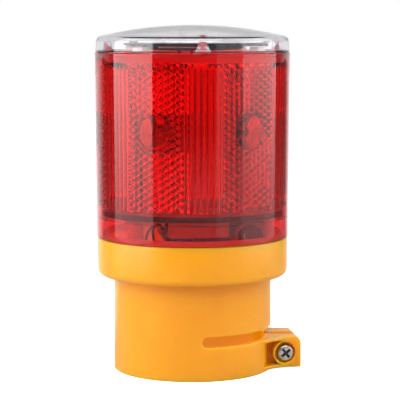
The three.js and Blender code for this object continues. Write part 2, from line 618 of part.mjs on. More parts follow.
// ---------------------------------------------------------------- everything in its place
part("housing", housing(), MATERIALS.housing);
part("rim_seal", tube(RIM_SEAL.innerR, RIM_SEAL.r, RIM_SEAL.bottom, RIM_SEAL.top), MATERIALS.rubber);
part("lens", lens(), MATERIALS.lens);
part("solar_cap", cap(), MATERIALS.cap);
part("solar_panel", cutSquare(PANEL), MATERIALS.cells);
part("panel_carrier", panelCarrier(), MATERIALS.carrier);
padsUnderPanel();
part("deck_seal", tube(DECK_SEAL.innerR, DECK_SEAL.r, DECK_SEAL.bottom, DECK_SEAL.top), MATERIALS.rubber);
part("light_deck", lightDeck(), MATERIALS.deck);
stripsAndDiodes();
part("control_board", board(), MATERIALS.board);
part("control_module", chip(), MATERIALS.chip);
part("capacitor", capacitor(), MATERIALS.sleeve);
part("coil", coil(), MATERIALS.copper);
part("battery", battery(), MATERIALS.sleeve);
part("battery_holder", batteryHolder(), MATERIALS.black);
part("battery_contact_front", contactPlate(CELL.front - CELL.nub - CLEARANCE - CONTACT.thickness), MATERIALS.nickel);
part("battery_contact_rear", contactPlate(SPRING.back + SPRING.wireR + CLEARANCE), MATERIALS.nickel);
part("battery_spring", batterySpring(), MATERIALS.nickel);
part("switch_body", switchBody(), MATERIALS.black);
part("switch_nut", switchNut(), MATERIALS.nickel);
part("switch_button", switchButton(), MATERIALS.red);
PILLAR_PLACES.forEach((place, i) => part(`deck_screw_${i + 1}`, downScrew(DECK_SCREW, place), MATERIALS.steel));
BOARD_SCREW_PLACES.forEach((place, i) =>
  part(`board_screw_${i + 1}`, downScrew(BOARD_SCREW, place), MATERIALS.steel));
part("clamp_screw", clampScrew(), MATERIALS.steel);
part("clamp_nut", clampNut(), MATERIALS.steel);
Object.entries(LEAD_PATHS).forEach(([name, path]) => {
  const shape = wire(path, LEAD.r, LEAD.sides, LEAD.stepsPerSpan * (path.length - 1));
  part(name, shape, name.endsWith("red") ? MATERIALS.red : MATERIALS.black);
});

export default light;
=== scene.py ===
import math
import random

import bmesh
import bpy
from mathutils import Matrix, Vector


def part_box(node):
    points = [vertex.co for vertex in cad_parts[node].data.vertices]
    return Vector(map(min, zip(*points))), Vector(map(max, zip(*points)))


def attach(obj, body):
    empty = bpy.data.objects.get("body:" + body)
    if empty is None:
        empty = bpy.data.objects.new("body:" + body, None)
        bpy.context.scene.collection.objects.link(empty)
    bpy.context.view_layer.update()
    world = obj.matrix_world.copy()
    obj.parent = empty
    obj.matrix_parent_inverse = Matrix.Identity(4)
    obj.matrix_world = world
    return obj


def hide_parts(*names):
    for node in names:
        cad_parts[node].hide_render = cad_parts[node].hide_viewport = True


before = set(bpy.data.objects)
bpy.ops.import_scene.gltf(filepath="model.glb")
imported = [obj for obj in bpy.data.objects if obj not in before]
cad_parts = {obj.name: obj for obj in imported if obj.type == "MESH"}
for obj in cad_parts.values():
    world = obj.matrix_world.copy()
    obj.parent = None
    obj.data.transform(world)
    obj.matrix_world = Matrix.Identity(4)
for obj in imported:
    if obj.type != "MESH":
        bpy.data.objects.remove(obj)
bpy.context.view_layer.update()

# Lengths in this script are millimetres, in the CAD's frame. Blender's are metres. Angles are degrees.
MM = 0.001
ROUND = 192  # segments of the large turned pieces
SMALL_ROUND = 48
FRONT = -90.0  # the lamp's front, as an angle from +X


def span(node):
    """Lowest and highest corner of a CAD node."""
    low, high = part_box(node)
    return low / MM, high / MM


def shift(x=0.0, y=0.0, z=0.0):
    return Matrix.Translation(Vector((x, y, z)) * MM)


def turn(angle, axis):
    return Matrix.Rotation(math.radians(angle), 4, axis)


def link_object(name, data):
    made = bpy.data.objects.new(name, data)
    bpy.context.scene.collection.objects.link(made)
    return made


# ---------------------------------------------------------------- shader nodes
def feed(tree, node, values):
    """Sets a node's inputs to values, or links them to other nodes' outputs. A colour is an RGB triple."""
    for key, value in values.items():
        socket = node.inputs[key]
        if isinstance(value, bpy.types.NodeSocket):
            tree.links.new(value, socket)
        else:
            socket.default_value = (*value, 1) if socket.type == "RGBA" else value


def new_node(tree, kind, values=None, **settings):
    node = tree.nodes.new("ShaderNode" + kind)
    for name, setting in settings.items():
        setattr(node, name, setting)
    feed(tree, node, values or {})
    return node


def math_node(tree, operation, *values):
    return new_node(tree, "Math", dict(enumerate(values)), operation=operation).outputs[0]


def product(tree, value, *others):
    for other in others:
        value = math_node(tree, "MULTIPLY", value, other)
    return value


def remap(tree, value, low, high, start=0.3, end=0.7, easing="LINEAR"):
    """Takes a value from between a start and an end to between a low and a high one."""
    limits = {"Value": value, "From Min": start, "From Max": end, "To Min": low, "To Max": high}
    return new_node(tree, "MapRange", limits, interpolation_type=easing).outputs["Result"]


def axes(tree, vector=None):
    """The X, Y and Z of a vector, or else of the object's own coordinates in metres."""
    vector = vector or new_node(tree, "TexCoord").outputs["Object"]
    return tuple(new_node(tree, "SeparateXYZ", {0: vector}).outputs)


def near(tree, first, second, reach):
    """1 where two lengths are the legs of less than a reach."""
    squares = [math_node(tree, "MULTIPLY", leg, leg) for leg in (first, second)]
    return math_node(tree, "LESS_THAN", math_node(tree, "SQRT", math_node(tree, "ADD", *squares)), reach * MM)


def noise(tree, place, size, detail=3.0):
    """Noise whose features are about a given size."""
    values = {"Vector": place, "Scale": 1 / (size * MM), "Detail": detail}
    return new_node(tree, "TexNoise", values).outputs["Fac"]


def blend_colors(tree, factor, first, second):
    """A mix of two colours, each an RGB triple or another node's output."""
    mix = new_node(tree, "Mix", {"Factor": factor, "A": first, "B": second}, data_type="RGBA")
    return mix.outputs["Result"]


def raise_bumps(tree, shader, height, depth, strength=1.0):
    """Bumps of a height output, whose full range is a depth."""
    bump = new_node(tree, "Bump", {"Distance": depth * MM, "Strength": strength, "Height": height})
    feed(tree, shader, {"Normal": bump.outputs[0]})


def material_nodes(name):
    """A new material with its node tree, its main shader and the object's own coordinates in metres."""
    material = bpy.data.materials.new(name)
    material.use_nodes = True
    tree = material.node_tree
    return material, tree, tree.nodes["Principled BSDF"], new_node(tree, "TexCoord").outputs["Object"]


# ---------------------------------------------------------------- meshes
def mesh_object(name, points, faces, material=None, sharp=40.0):
    mesh = bpy.data.meshes.new(name)
    mesh.from_pydata([Vector(point) * MM for point in points], [], faces)
    mesh.validate()
    return show_mesh(name, mesh, material, sharp)


def work_object(name, work, material, sharp=40.0):
    """An object from a bmesh, which is used up."""
    mesh = bpy.data.meshes.new(name)
    work.to_mesh(mesh)
    work.free()
    return show_mesh(name, mesh, material, sharp)


def show_mesh(name, mesh, material, sharp):
    shade(mesh, sharp)
    mesh.materials.append(material)
    return link_object(name, mesh)


def shade(mesh, sharp=40.0):
    """Smooth, except across edges sharper than an angle."""
    mesh.shade_smooth()
    mesh.set_sharp_from_angle(angle=math.radians(sharp))


def loft(rings, closed=False):
    """Points and faces of a skin over rings, either capped or closed from the last ring to the first."""
    count = len(rings[0])
    points = [point for ring in rings for point in ring]
    faces = []
    for k in range(len(rings) if closed else len(rings) - 1):
        low, high = k * count, (k + 1) % len(rings) * count
        for i in range(count):
            j = (i + 1) % count
            faces.append((low + i, low + j, high + j, high + i))
    if not closed:
        faces.append(tuple(reversed(range(count))))
        faces.append(tuple(range(len(points) - count, len(points))))
    return points, faces


def circle(r, z, segments=ROUND, x=0.0, y=0.0):
    steps = [2 * math.pi * i / segments for i in range(segments)]
    return [(x + r * math.cos(a), y + r * math.sin(a), z) for a in steps]


def arc(x, y, r, start, end, steps):
    angles = [math.radians(start + (end - start) * i / steps) for i in range(steps + 1)]
    return [(x + r * math.cos(a), y + r * math.sin(a)) for a in angles]


def outward(piece):
    """Turns every face to point out of the piece."""
    work = bmesh.new()
    work.from_mesh(piece.data)
    bmesh.ops.recalc_face_normals(work, faces=work.faces)
    work.to_mesh(piece.data)
    work.free()
    return piece


def turned(name, profile, material=None, segments=ROUND, x=0.0, y=0.0, sharp=40.0):
    """A turned piece. Its profile of (radius, height) runs from the axis to the axis, or is closed."""
    solid = profile[0][0] == 0
    profile = profile[1:-1] if solid else profile
    points, faces = loft([circle(r, z, segments, x, y) for r, z in profile], closed=not solid)
    return outward(mesh_object(name, points, faces, material, sharp))


def rod(name, r, low, high, segments=SMALL_ROUND, x=0.0, y=0.0, material=None):
    return turned(name, [(0, low), (r, low), (r, high), (0, high)], material, segments, x, y)


def along_y(piece, x=0.0, z=0.0, y=0.0):
    """Lays a piece that was made along Z with its top towards the front, at (x, y, z)."""
    piece.data.transform(shift(x, y, z) @ turn(90, "X"))
    return piece


def bar(name, profile, x, z, segments=SMALL_ROUND, material=None):
    """A turned piece along Y. Its profile is (radius, distance to the front), from axis to axis."""
    return along_y(turned(name, profile, material, segments), x, z)


def swung(piece, angle):
    """Turns a piece about the lamp's axis."""
    piece.data.transform(turn(angle, "Z"))
    return piece


def block(name, low, high):
    """A plain box, used only to cut or join."""
    x, y, z = zip(low, high)
    points = [(x[i], y[j], z[k]) for k in (0, 1) for j in (0, 1) for i in (0, 1)]
    faces = [(0, 2, 3, 1), (4, 5, 7, 6), (0, 1, 5, 4), (2, 6, 7, 3), (0, 4, 6, 2), (1, 3, 7, 5)]
    return mesh_object(name, points, faces)


def slab(name, low, high, material=None, radius=0.3, segments=3):
    """A block with rounded edges between two corners."""
    work = bmesh.new()
    bmesh.ops.create_cube(work, size=1.0)
    low, high = Vector(low), Vector(high)
    for vertex in work.verts:
        vertex.co = Vector((low[k] + high[k]) / 2 + vertex.co[k] * (high[k] - low[k]) for k in range(3)) * MM
    rounding = {"offset": radius * MM, "segments": segments, "profile": 0.5, "affect": "EDGES"}
    bmesh.ops.bevel(work, geom=work.edges[:], clamp_overlap=True, **rounding)
    return work_object(name, work, material)


def prism(name, outline, bottom, top, material=None, radius=0.2):
    """A flat outline raised from one height to another, with rounded edges at its top and bottom."""
    work = bmesh.new()
    face = work.faces.new([work.verts.new(Vector((x, y, bottom)) * MM) for x, y in outline])
    grown = bmesh.ops.extrude_face_region(work, geom=[face])
    lifted = [v for v in grown["geom"] if isinstance(v, bmesh.types.BMVert)]
    bmesh.ops.translate(work, verts=lifted, vec=(0, 0, (top - bottom) * MM))
    bmesh.ops.recalc_face_normals(work, faces=work.faces)
    rims = [e for e in work.edges if abs(e.verts[0].co.z - e.verts[1].co.z) < 1e-9]
    bmesh.ops.bevel(work, geom=rims, offset=radius * MM, segments=2, profile=0.5, affect="EDGES")
    return work_object(name, work, material)


def tube(name, points, r, material, sides=12):
    """A round wire along points."""
    path = [Vector(p) for p in points]
    steps = [2 * math.pi * i / sides for i in range(sides)]
    rings = []
    side = None
    for k, here in enumerate(path):
        ahead = (path[min(k + 1, len(path) - 1)] - path[max(k - 1, 0)]).normalized()
        side = ahead.orthogonal() if side is None else side - side.dot(ahead) * ahead
        side.normalize()
        up = ahead.cross(side)
        rings.append([here + r * (math.cos(a) * side + math.sin(a) * up) for a in steps])
    return outward(mesh_object(name, *loft(rings), material))


def thread(r, pitch, low, high, around=24, per_turn=6):
    """Rings of a rod with a helical thread between two heights, shallower at its ends."""
    rings = []
    steps = int((high - low) / pitch * per_turn)
    for k in range(steps + 1):
        z = low + (high - low) * k / steps
        fade = min(1.0, k / per_turn, (steps - k) / per_turn)
        ring = []
        for i in range(around):
            a = 2 * math.pi * i / around
            phase = (z / pitch - i / around) % 1.0
            cut = 0.54 * pitch * min(1.0, 1.25 * (1 - abs(2 * phase - 1))) * fade
            ring.append(((r - cut) * math.cos(a), (r - cut) * math.sin(a), z))
        rings.append(ring)
    return rings


def combine(piece, operation, *others):
    """Joins, cuts or crosses a piece with others, which are used up."""
    for other in others:
        modifier = piece.modifiers.new("boolean", "BOOLEAN")
        modifier.operation = operation
        modifier.solver = "EXACT"
        modifier.object = other
    bpy.context.view_layer.update()
    evaluated = piece.evaluated_get(bpy.context.evaluated_depsgraph_get())
    mesh = bpy.data.meshes.new_from_object(evaluated)
    piece.modifiers.clear()
    piece.data = mesh
    for other in others:
        bpy.data.objects.remove(other)
    return piece


def join(name, pieces):
    """One piece from several that touch or lie apart."""
    whole = combine(pieces[0], "UNION", *pieces[1:])
    whole.name = name
    return whole


def finish_piece(piece, node, body="lamp"):
    """Puts a piece on its body, in place of a CAD node."""
    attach(piece, body)
    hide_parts(node)


# ---------------------------------------------------------------- camera, light and floor
CAMERA_DISTANCE = 770.0
CAMERA_ASIDE = 3.5
CAMERA_HEIGHT = 161.4
CAMERA_TILT = 6.16
CAMERA_AZIMUTH = -7.0
CAMERA_LENS = 150.0
LIGHT_CENTRE = 80.0
LIGHT_FADE = 60.0
LIGHTS = (  # name, azimuth, elevation, distance, width, height, radiance and the share of it below the middle
    ("softbox_left", -80.5, 0, 500, 534, 1200, 4.2, 0.35),
    ("softbox_right", 78, 0, 500, 500, 1200, 2.8, 0.35),
    ("wall_right", 36, 0, 600, 340, 1200, 0.6, 1.0),
    ("softbox_top", -10, 52, 900, 900, 900, 3.3, 1.0),
)
WHITE = (1, 1, 1)
ROOM = (0.15, 0.95)  # brightness of the room in front and behind, as reflections see it
ROOM_EDGE = (0.4, 0.75)  # how far back it changes, as a cosine
ROOM_TOP = 0.55  # share of it that is left overhead
ROOM_FOOT = (0.03, 0.3)  # how far up that share sets in, as a sine
ROOM_THROUGH = 0.88  # brightness of the room as seen through a clear piece
FLOOR_HALF = 4000.0
FLOOR_THROUGH = 0.45
SWEEP = (0.70, 0.88)  # how far back a point of the floor lies, as a cosine, where the white begins and is full


def make_camera():
    data = bpy.data.cameras.new("camera")
    data.lens = CAMERA_LENS
    data.sensor_width = 36.0
    data.clip_start, data.clip_end = 0.05, 50.0
    camera = link_object("camera", data)
    place = Vector((CAMERA_ASIDE, -CAMERA_DISTANCE, CAMERA_HEIGHT)) * MM
    camera.location = turn(CAMERA_AZIMUTH, "Z") @ place
    camera.rotation_euler = (math.radians(90 - CAMERA_TILT), 0, math.radians(CAMERA_AZIMUTH))
    bpy.context.scene.camera = camera


def area_light(name, azimuth, elevation, distance, width, height, radiance, foot):
    """A soft box that faces the lamp, by its azimuth from the front towards +X. A radiance of 1 is white."""
    data = bpy.data.lights.new(name, "AREA")
    data.shape = "RECTANGLE"
    data.size, data.size_y = width * MM, height * MM
    data.energy = radiance * math.pi * data.size * data.size_y
    data.use_nodes = True
    tree = data.node_tree
    _, up, _ = axes(tree, new_node(tree, "NewGeometry").outputs["Parametric"])
    fade = LIGHT_FADE / height
    feed(tree, tree.nodes["Emission"], {"Strength": remap(tree, up, foot, 1.0, 0.5 - fade, 0.5 + fade)})
    light = link_object(name, data)
    light.visible_camera = False
    swing = turn(azimuth, "Z") @ turn(-elevation, "X")
    light.matrix_world = shift(z=LIGHT_CENTRE) @ swing @ shift(y=-distance) @ turn(90, "X")


def through_clear(tree, path, strength):
    """A strength that only light which has come through a clear piece sees."""
    passed = math_node(tree, "MINIMUM", path["Transmission Depth"], strength)
    return product(tree, passed, math_node(tree, "SUBTRACT", 1.0, path["Is Diffuse Ray"]))


def make_world():
    """White to the camera. Reflections see a bright backdrop behind and a dim room in front, and what comes
    through a clear piece sees a room that is bright all round."""
    world = bpy.data.worlds.new("studio")
    bpy.context.scene.world = world
    world.use_nodes = True
    tree = world.node_tree
    tree.nodes.clear()
    path = new_node(tree, "LightPath").outputs
    _, back, up = axes(tree, new_node(tree, "TexCoord").outputs["Generated"])
    backdrop = remap(tree, back, *ROOM, *ROOM_EDGE, "SMOOTHSTEP")
    reflected = product(tree, backdrop, remap(tree, up, 1.0, ROOM_TOP, *ROOM_FOOT))
    strength = math_node(tree, "MAXIMUM", reflected, through_clear(tree, path, ROOM_THROUGH))
    room = new_node(tree, "Background", {"Color": WHITE, "Strength": strength}).outputs[0]
    seen = new_node(tree, "Background", {"Color": WHITE}).outputs[0]
    mix = new_node(tree, "MixShader", {0: path["Is Camera Ray"], 1: room, 2: seen}).outputs[0]
    new_node(tree, "OutputWorld", {"Surface": mix})


def make_floor():
    """A pale floor. The camera sees it as white as the background, clear pieces see it paler, and reflections
    see a white sweep behind the lamp."""
    material, tree, shader, place = material_nodes("floor_white")
    direction = new_node(tree, "VectorMath", {0: place}, operation="NORMALIZE").outputs[0]
    path = new_node(tree, "LightPath").outputs
    sweep = product(tree, path["Is Glossy Ray"], remap(tree, axes(tree, direction)[1], 0, 1, *SWEEP))
    beyond = math_node(tree, "MAXIMUM", sweep, through_clear(tree, path, FLOOR_THROUGH))
    feed(tree, shader, {
        "Base Color": (0.5, 0.5, 0.5),
        "Roughness": 0.9,
        "Specular IOR Level": 0.1,
        "Emission Color": WHITE,
        "Emission Strength": math_node(tree, "MAXIMUM", path["Is Camera Ray"], beyond),
    })
    corners = [(sx * FLOOR_HALF, sy * FLOOR_HALF, 0) for sx, sy in ((-1, -1), (1, -1), (1, 1), (-1, 1))]
    mesh_object("floor", corners, [(0, 1, 2, 3)], material)


def light_the_studio():
    make_world()
    make_floor()
    for light in LIGHTS:
        area_light(*light)
    view = bpy.context.scene.view_settings
    view.view_transform = "Standard"
    view.look = "None"


# ---------------------------------------------------------------- materials
SATIN_RADIUS = 43.5
SATIN_FOOT = 142.45
SATIN_ROUGHNESS = 0.3
PEG_RING = 39.0
PEG_REACH = 4.5
PEG_WALL = 42.7  # radius past which the cap is clear again
PEG_TOP = 152.2
PEG_ROUGHNESS = 0.22
# Painted glow: the colour and strengths of the emission that lights the inside of the housing's socket and
# cup.
PAINTED_GLOW_COLOR = (1.0, 0.5, 0.0)
SOCKET_PAINTED_GLOW = 0.26
CUP_PAINTED_GLOW = 0.32
PLAIN = {  # two tones, the range of roughness, the size of the patches, the grain and its depth, and any metal
    "housing_plastic": ((0.83, 0.36, 0.002), (0.81, 0.345, 0.002), (0.26, 0.35), 12, 0.5, 0.012),
    "carrier_plastic": ((0.008, 0.008, 0.009), (0.014, 0.013, 0.015), (0.45, 0.6), 8, 0.8, 0.006),
    "panel_edge": ((0.80, 0.80, 0.82), (0.66, 0.66, 0.69), (0.2, 0.35), 4, 0.4, 0.02),
    "panel_corner": ((0.012, 0.012, 0.014), (0.03, 0.03, 0.033), (0.25, 0.35), 3, 0.4, 0.02),
    # painted highlight: the white of the bead along the carrier dish's front left rim
    "painted_highlight_white": ((0.9, 0.9, 0.9), (0.95, 0.94, 0.94), (0.15, 0.3), 2, 0.4, 0.02),
    "rim_rubber": ((0.5, 0.1, 0.03), (0.56, 0.13, 0.04), (0.5, 0.7), 2, 0.2, 0.02),
    "seal_rubber": ((0.018, 0.018, 0.018), (0.028, 0.027, 0.027), (0.6, 0.8), 2, 0.2, 0.03),
    "deck_under": ((0.88, 0.88, 0.87), (0.93, 0.93, 0.92), (0.35, 0.5), 4, 0.3, 0.01),
    "deck_rim": ((0.02, 0.02, 0.02), (0.03, 0.03, 0.03), (0.4, 0.6), 3, 0.3, 0.02),
    "module_resin": ((0.55, 0.34, 0.32), (0.62, 0.40, 0.36), (0.45, 0.6), 3, 0.15, 0.03),
    "copper_winding": ((0.62, 0.22, 0.09), (0.75, 0.32, 0.14), (0.25, 0.4), 1, 0.2, 0.01, 0.9),
    "ferrite": ((0.03, 0.03, 0.032), (0.05, 0.048, 0.046), (0.5, 0.7), 1, 0.15, 0.03),
    "holder_plastic": ((0.05, 0.05, 0.052), (0.07, 0.07, 0.072), (0.35, 0.5), 3, 0.3, 0.02),
    "contact_nickel": ((0.62, 0.58, 0.5), (0.7, 0.67, 0.6), (0.22, 0.38), 2, 0.15, 0.005, 1.0),
    "contact_dull": ((0.1, 0.09, 0.08), (0.14, 0.12, 0.11), (0.4, 0.55), 2, 0.15, 0.005, 1.0),
    "screw_steel": ((0.50, 0.49, 0.49), (0.58, 0.57, 0.56), (0.10, 0.22), 1.5, 0.12, 0.004, 1.0),
    # painted shade: the darker steel of the screw's cross recess
    "screw_recess_painted_shade": ((0.07, 0.065, 0.06), (0.12, 0.11, 0.105), (0.3, 0.5), 1.0, 0.12, 0.006, 1.0),
    "solder": ((0.6, 0.6, 0.62), (0.72, 0.72, 0.73), (0.2, 0.35), 0.8, 0.2, 0.02, 1.0),
    "diode_die": ((0.9, 0.75, 0.2), (0.95, 0.82, 0.3), (0.4, 0.6), 0.5, 0.1, 0.01),
    "button_plastic": ((0.42, 0.012, 0.012), (0.5, 0.02, 0.018), (0.25, 0.4), 2, 0.3, 0.02),
    "lead_red": ((0.55, 0.01, 0.008), (0.62, 0.018, 0.012), (0.35, 0.5), 2, 0.25, 0.02),
    "lead_black": ((0.02, 0.02, 0.021), (0.03, 0.03, 0.031), (0.35, 0.5), 2, 0.25, 0.02),
}
BOARDS = {  # solder mask, trace and pad
    "deck_board": ((0.42, 0.41, 0.40), (0.5, 0.49, 0.48), (0.6, 0.58, 0.52)),
    "strip_board": ((0.38, 0.35, 0.34), (0.5, 0.46, 0.45), (0.6, 0.58, 0.52)),
    "circuit_board": ((0.012, 0.10, 0.035), (0.03, 0.19, 0.07), (0.72, 0.6, 0.35)),
}
SLEEVES = {  # axis, its two ends, the two colours, where the second one lies between the ends, and roughness
    "capacitor_sleeve": (0, -13, -6, ((0.015, 0.02, 0.07), (0.5, 0.52, 0.56)), (0.0, 0.12), (0.25, 0.4)),
    "battery_jacket": (1, -26.5, 22.4, ((0.30, 0.42, 0.34), (0.8, 0.8, 0.78)), (0.72, 0.97), (0.2, 0.35)),
}


def plain(name, color, tone, roughness, mottle, grain, depth, metallic=0.0):
    """A moulded or metal surface: two tones in soft patches, with uneven roughness and a fine grain."""
    material, tree, shader, place = material_nodes(name)
    patches = remap(tree, noise(tree, place, mottle, 4.0), 0, 1)
    fine = noise(tree, place, grain, 5.0)
    feed(tree, shader, {
        "Base Color": blend_colors(tree, patches, color, tone),
        "Roughness": remap(tree, fine, *roughness),
        "Metallic": metallic,
    })
    raise_bumps(tree, shader, fine, depth)
    return material


def clear_plastic(name, tint, absorption, density, roughness=0.02, ior=1.5):
    """A clear plastic that takes its colour from its thickness. The density is per metre."""
    material, tree, shader, place = material_nodes(name)
    haze = noise(tree, place, 9.0)
    feed(tree, shader, {
        "Base Color": blend_colors(tree, haze, tint, tuple(0.985 * c for c in tint)),
        "Roughness": remap(tree, haze, roughness * 0.6, roughness * 1.6),
        "Transmission Weight": 1.0,
        "IOR": ior,
    })
    raise_bumps(tree, shader, noise(tree, place, 14.0, 1.0), 0.03, 0.5)
    volume = new_node(tree, "VolumeAbsorption", {"Color": absorption, "Density": density})
    feed(tree, tree.nodes["Material Output"], {"Volume": volume.outputs[0]})
    return material


def add_satin(material, spots, roughness):
    """Makes a material at least so rough where its spots are 1."""
    tree = material.node_tree
    shader = tree.nodes["Principled BSDF"]
    gloss = shader.inputs["Roughness"].links[0].from_socket
    feed(tree, shader, {"Roughness": math_node(tree, "MAXIMUM", gloss, product(tree, spots, roughness))})
    return material


def lens_plastic():
    """The clear red of the lens, with a satin band inside its head, above the optics."""
    material = clear_plastic("lens_plastic", (1.0, 0.93, 0.93), (0.952, 0.03, 0.05), 1250.0)
    tree = material.node_tree
    x, y, z = axes(tree)
    above = math_node(tree, "GREATER_THAN", z, SATIN_FOOT * MM)
    return add_satin(material, product(tree, near(tree, x, y, SATIN_RADIUS), above), SATIN_ROUGHNESS)


def cap_plastic():
    """The clear plastic of the cap, with satin pegs."""
    material = clear_plastic("cap_plastic", (1.0, 1.0, 1.0), (0.80, 0.78, 0.83), 210.0, 0.015, 1.49)
    tree = material.node_tree
    *sides, z = axes(tree)
    x, y = (math_node(tree, "ABSOLUTE", side) for side in sides)
    from_x, from_y = (math_node(tree, "SUBTRACT", length, PEG_RING * MM) for length in (x, y))
    pegs = math_node(tree, "MAXIMUM", near(tree, from_x, y, PEG_REACH), near(tree, x, from_y, PEG_REACH))
    below = math_node(tree, "LESS_THAN", z, PEG_TOP * MM)
    return add_satin(material, product(tree, pegs, near(tree, x, y, PEG_WALL), below), PEG_ROUGHNESS)


def housing_plastic(material):
    """Lets light pass through the housing by subsurface scattering, and paints a glow into its socket and the
    collar's cup: an emission that stands in for the light that comes through the thin wall.
    """
    tree = material.node_tree
    x, y, z = axes(tree)

    def painted_glow_in(radius, bottom, top, strength):
        above = math_node(tree, "GREATER_THAN", z, bottom * MM)
        below = math_node(tree, "LESS_THAN", z, top * MM)
        return product(tree, near(tree, x, y, radius + 0.6), above, below, strength)

    # Painted glow, not a lamp: emission in the socket's bore and in the cup, placed by object coordinates.
    socket = painted_glow_in(SKIRT_BORE, -1.0, CEILING + 0.1, SOCKET_PAINTED_GLOW)
    cup = painted_glow_in(COLLAR_BORE, CUP_FLOOR - 0.5, COLLAR_TOP - 0.45, CUP_PAINTED_GLOW)
    feed(tree, tree.nodes["Principled BSDF"], {
        "Emission Color": PAINTED_GLOW_COLOR,
        "Emission Strength": math_node(tree, "ADD", socket, cup),
        "Subsurface Weight": 1.0,
        "Subsurface Radius": (1.0, 0.5, 0.1),
        "Subsurface Scale": 7.0 * MM,
    })


def solar_cells():
    """Dark cells under resin, with fine fingers along X and wider busbars along Y."""
    material, tree, shader, place = material_nodes("solar_cells")
    x, y, _ = axes(tree, place)

    def stripes(across, pitch, width):
        return math_node(tree, "LESS_THAN", math_node(tree, "FRACT", product(tree, across, 1 / (pitch * MM))),
                         width / pitch)

    grains = noise(tree, place, 5.0, 2.0)
    cell = blend_colors(tree, remap(tree, grains, 0, 1), (0.006, 0.009, 0.035), (0.012, 0.02, 0.07))
    lines = math_node(tree, "MAXIMUM", stripes(y, 1.6, 0.14), stripes(x, 15.0, 1.2))
    lined = blend_colors(tree, lines, cell, (0.35, 0.36, 0.38))
    feed(tree, shader, {
        "Base Color": blend_colors(tree, stripes(y, 30.0, 0.8), lined, (0.02, 0.02, 0.022)),
        "Roughness": remap(tree, grains, 0.12, 0.2),
        "Coat Weight": 1.0,
        "Coat Roughness": 0.02,
    })
    raise_bumps(tree, shader, lines, 0.01)
    return material


def board_mask(name, mask, trace, pad):
    """Solder mask over copper: straight traces show as a lighter tone, with a few bare pads."""
    material, tree, shader, place = material_nodes(name)
    black = (0, 0, 0)
    traces = new_node(tree, "TexBrick", {
        "Vector": place, "Scale": 1 / (6.0 * MM), "Mortar Size": 0.06, "Color1": black, "Color2": black,
        "Mortar": WHITE,
    }).outputs["Fac"]
    spots = new_node(tree, "TexVoronoi", {"Vector": place, "Scale": 1 / (4.0 * MM)}).outputs["Distance"]
    bare = math_node(tree, "LESS_THAN", spots, 0.14)
    feed(tree, shader, {
        "Base Color": blend_colors(tree, bare, blend_colors(tree, traces, mask, trace), pad),
        "Metallic": bare,
        "Roughness": remap(tree, noise(tree, place, 1.0), 0.28, 0.4),
    })
    raise_bumps(tree, shader, math_node(tree, "MAXIMUM", traces, bare), 0.03)
    return material


def foam():
    """Soft closed-cell foam, with open pores where it was cut."""
    material, tree, shader, place = material_nodes("pad_foam")
    pores = new_node(tree, "TexVoronoi", {"Vector": place, "Scale": 1 / (0.5 * MM)}).outputs["Distance"]
    depth = remap(tree, pores, 0, 1, 0.1, 0.6)
    tones = blend_colors(tree, depth, (0.82, 0.72, 0.71), (0.93, 0.87, 0.86))
    feed(tree, shader, {"Base Color": tones, "Roughness": 0.95})
    raise_bumps(tree, shader, depth, 0.12)
    return material


def sleeve_film(name, axis, low, high, colors, band, roughness):
    """A shrunk sleeve, wrinkled, with a second colour in a band across an axis."""
    material, tree, shader, place = material_nodes(name)
    along = remap(tree, axes(tree, place)[axis], 0, 1, low * MM, high * MM)
    after = math_node(tree, "GREATER_THAN", along, band[0])
    inside = product(tree, after, math_node(tree, "LESS_THAN", along, band[1]))
    wrinkles = noise(tree, place, 1.2)
    feed(tree, shader, {
        "Base Color": blend_colors(tree, inside, *colors),
        "Roughness": remap(tree, wrinkles, *roughness),
    })
    raise_bumps(tree, shader, wrinkles, 0.03)
    return material


def make_materials():
    made = {name: plain(name, *look) for name, look in PLAIN.items()}
    made |= {name: board_mask(name, *look) for name, look in BOARDS.items()}
    made |= {name: sleeve_film(name, *look) for name, look in SLEEVES.items()}
    made |= {
        "lens_plastic": lens_plastic(), "cap_plastic": cap_plastic(),
        "solar_cells": solar_cells(), "pad_foam": foam(),
        "diode_epoxy": clear_plastic("diode_epoxy", (1.0, 0.985, 0.96), (0.9, 0.88, 0.8), 20.0, 0.03, 1.52),
    }
    housing_plastic(made["housing_plastic"])
    carrier = made["carrier_plastic"].node_tree
    feed(carrier, carrier.nodes["Principled BSDF"], {"Specular IOR Level": 0.05})
    return made


# ---------------------------------------------------------------- lens
WINDOWS = 6
WINDOW_HALF = 17.7
CELL_COLUMNS = 10
CELL_ROWS = 21
WINDOW_ARC = 43.2  # radius at which the cells have their true width
FLUTES = 7
FLUTE_STEPS = 6
OPTIC_FOOT = 77.0
OPTIC_HEAD = 142.4
RELIEF_INNER = 40.9
RELIEF_DEPTH = 2.3
VALLEY = 42.6
RIB = 1.0
RIB_END = 139.6
RIB_SLOPE = 0.55
BULLS_EYE_HEIGHT = 112.0
BULLS_EYE = 7.5
BULLS_EYE_RIM = 41.4
BULGE = 2.2


def cube_corner(u, v, column, row):
    """How far out a retroreflector's surface lies, 0 at its tips and 1 at its outer corners."""
    nearest = 1.0
    middle = round(u / column)
    for c in (middle - 1, middle, middle + 1):
        lift = 0.5 * row if c % 2 else 0.0
        base = round((v - lift) / row) * row + lift
        for centre in (base - row, base, base + row):
            x = (u - c * column) / column * 1.5
            y = (v - centre) / row * math.sqrt(3)
            planes = [x * math.cos(a) + y * math.sin(a) for a in (math.pi / 3, math.pi, 5 * math.pi / 3)]
            nearest = min(nearest, max(planes))
    return nearest


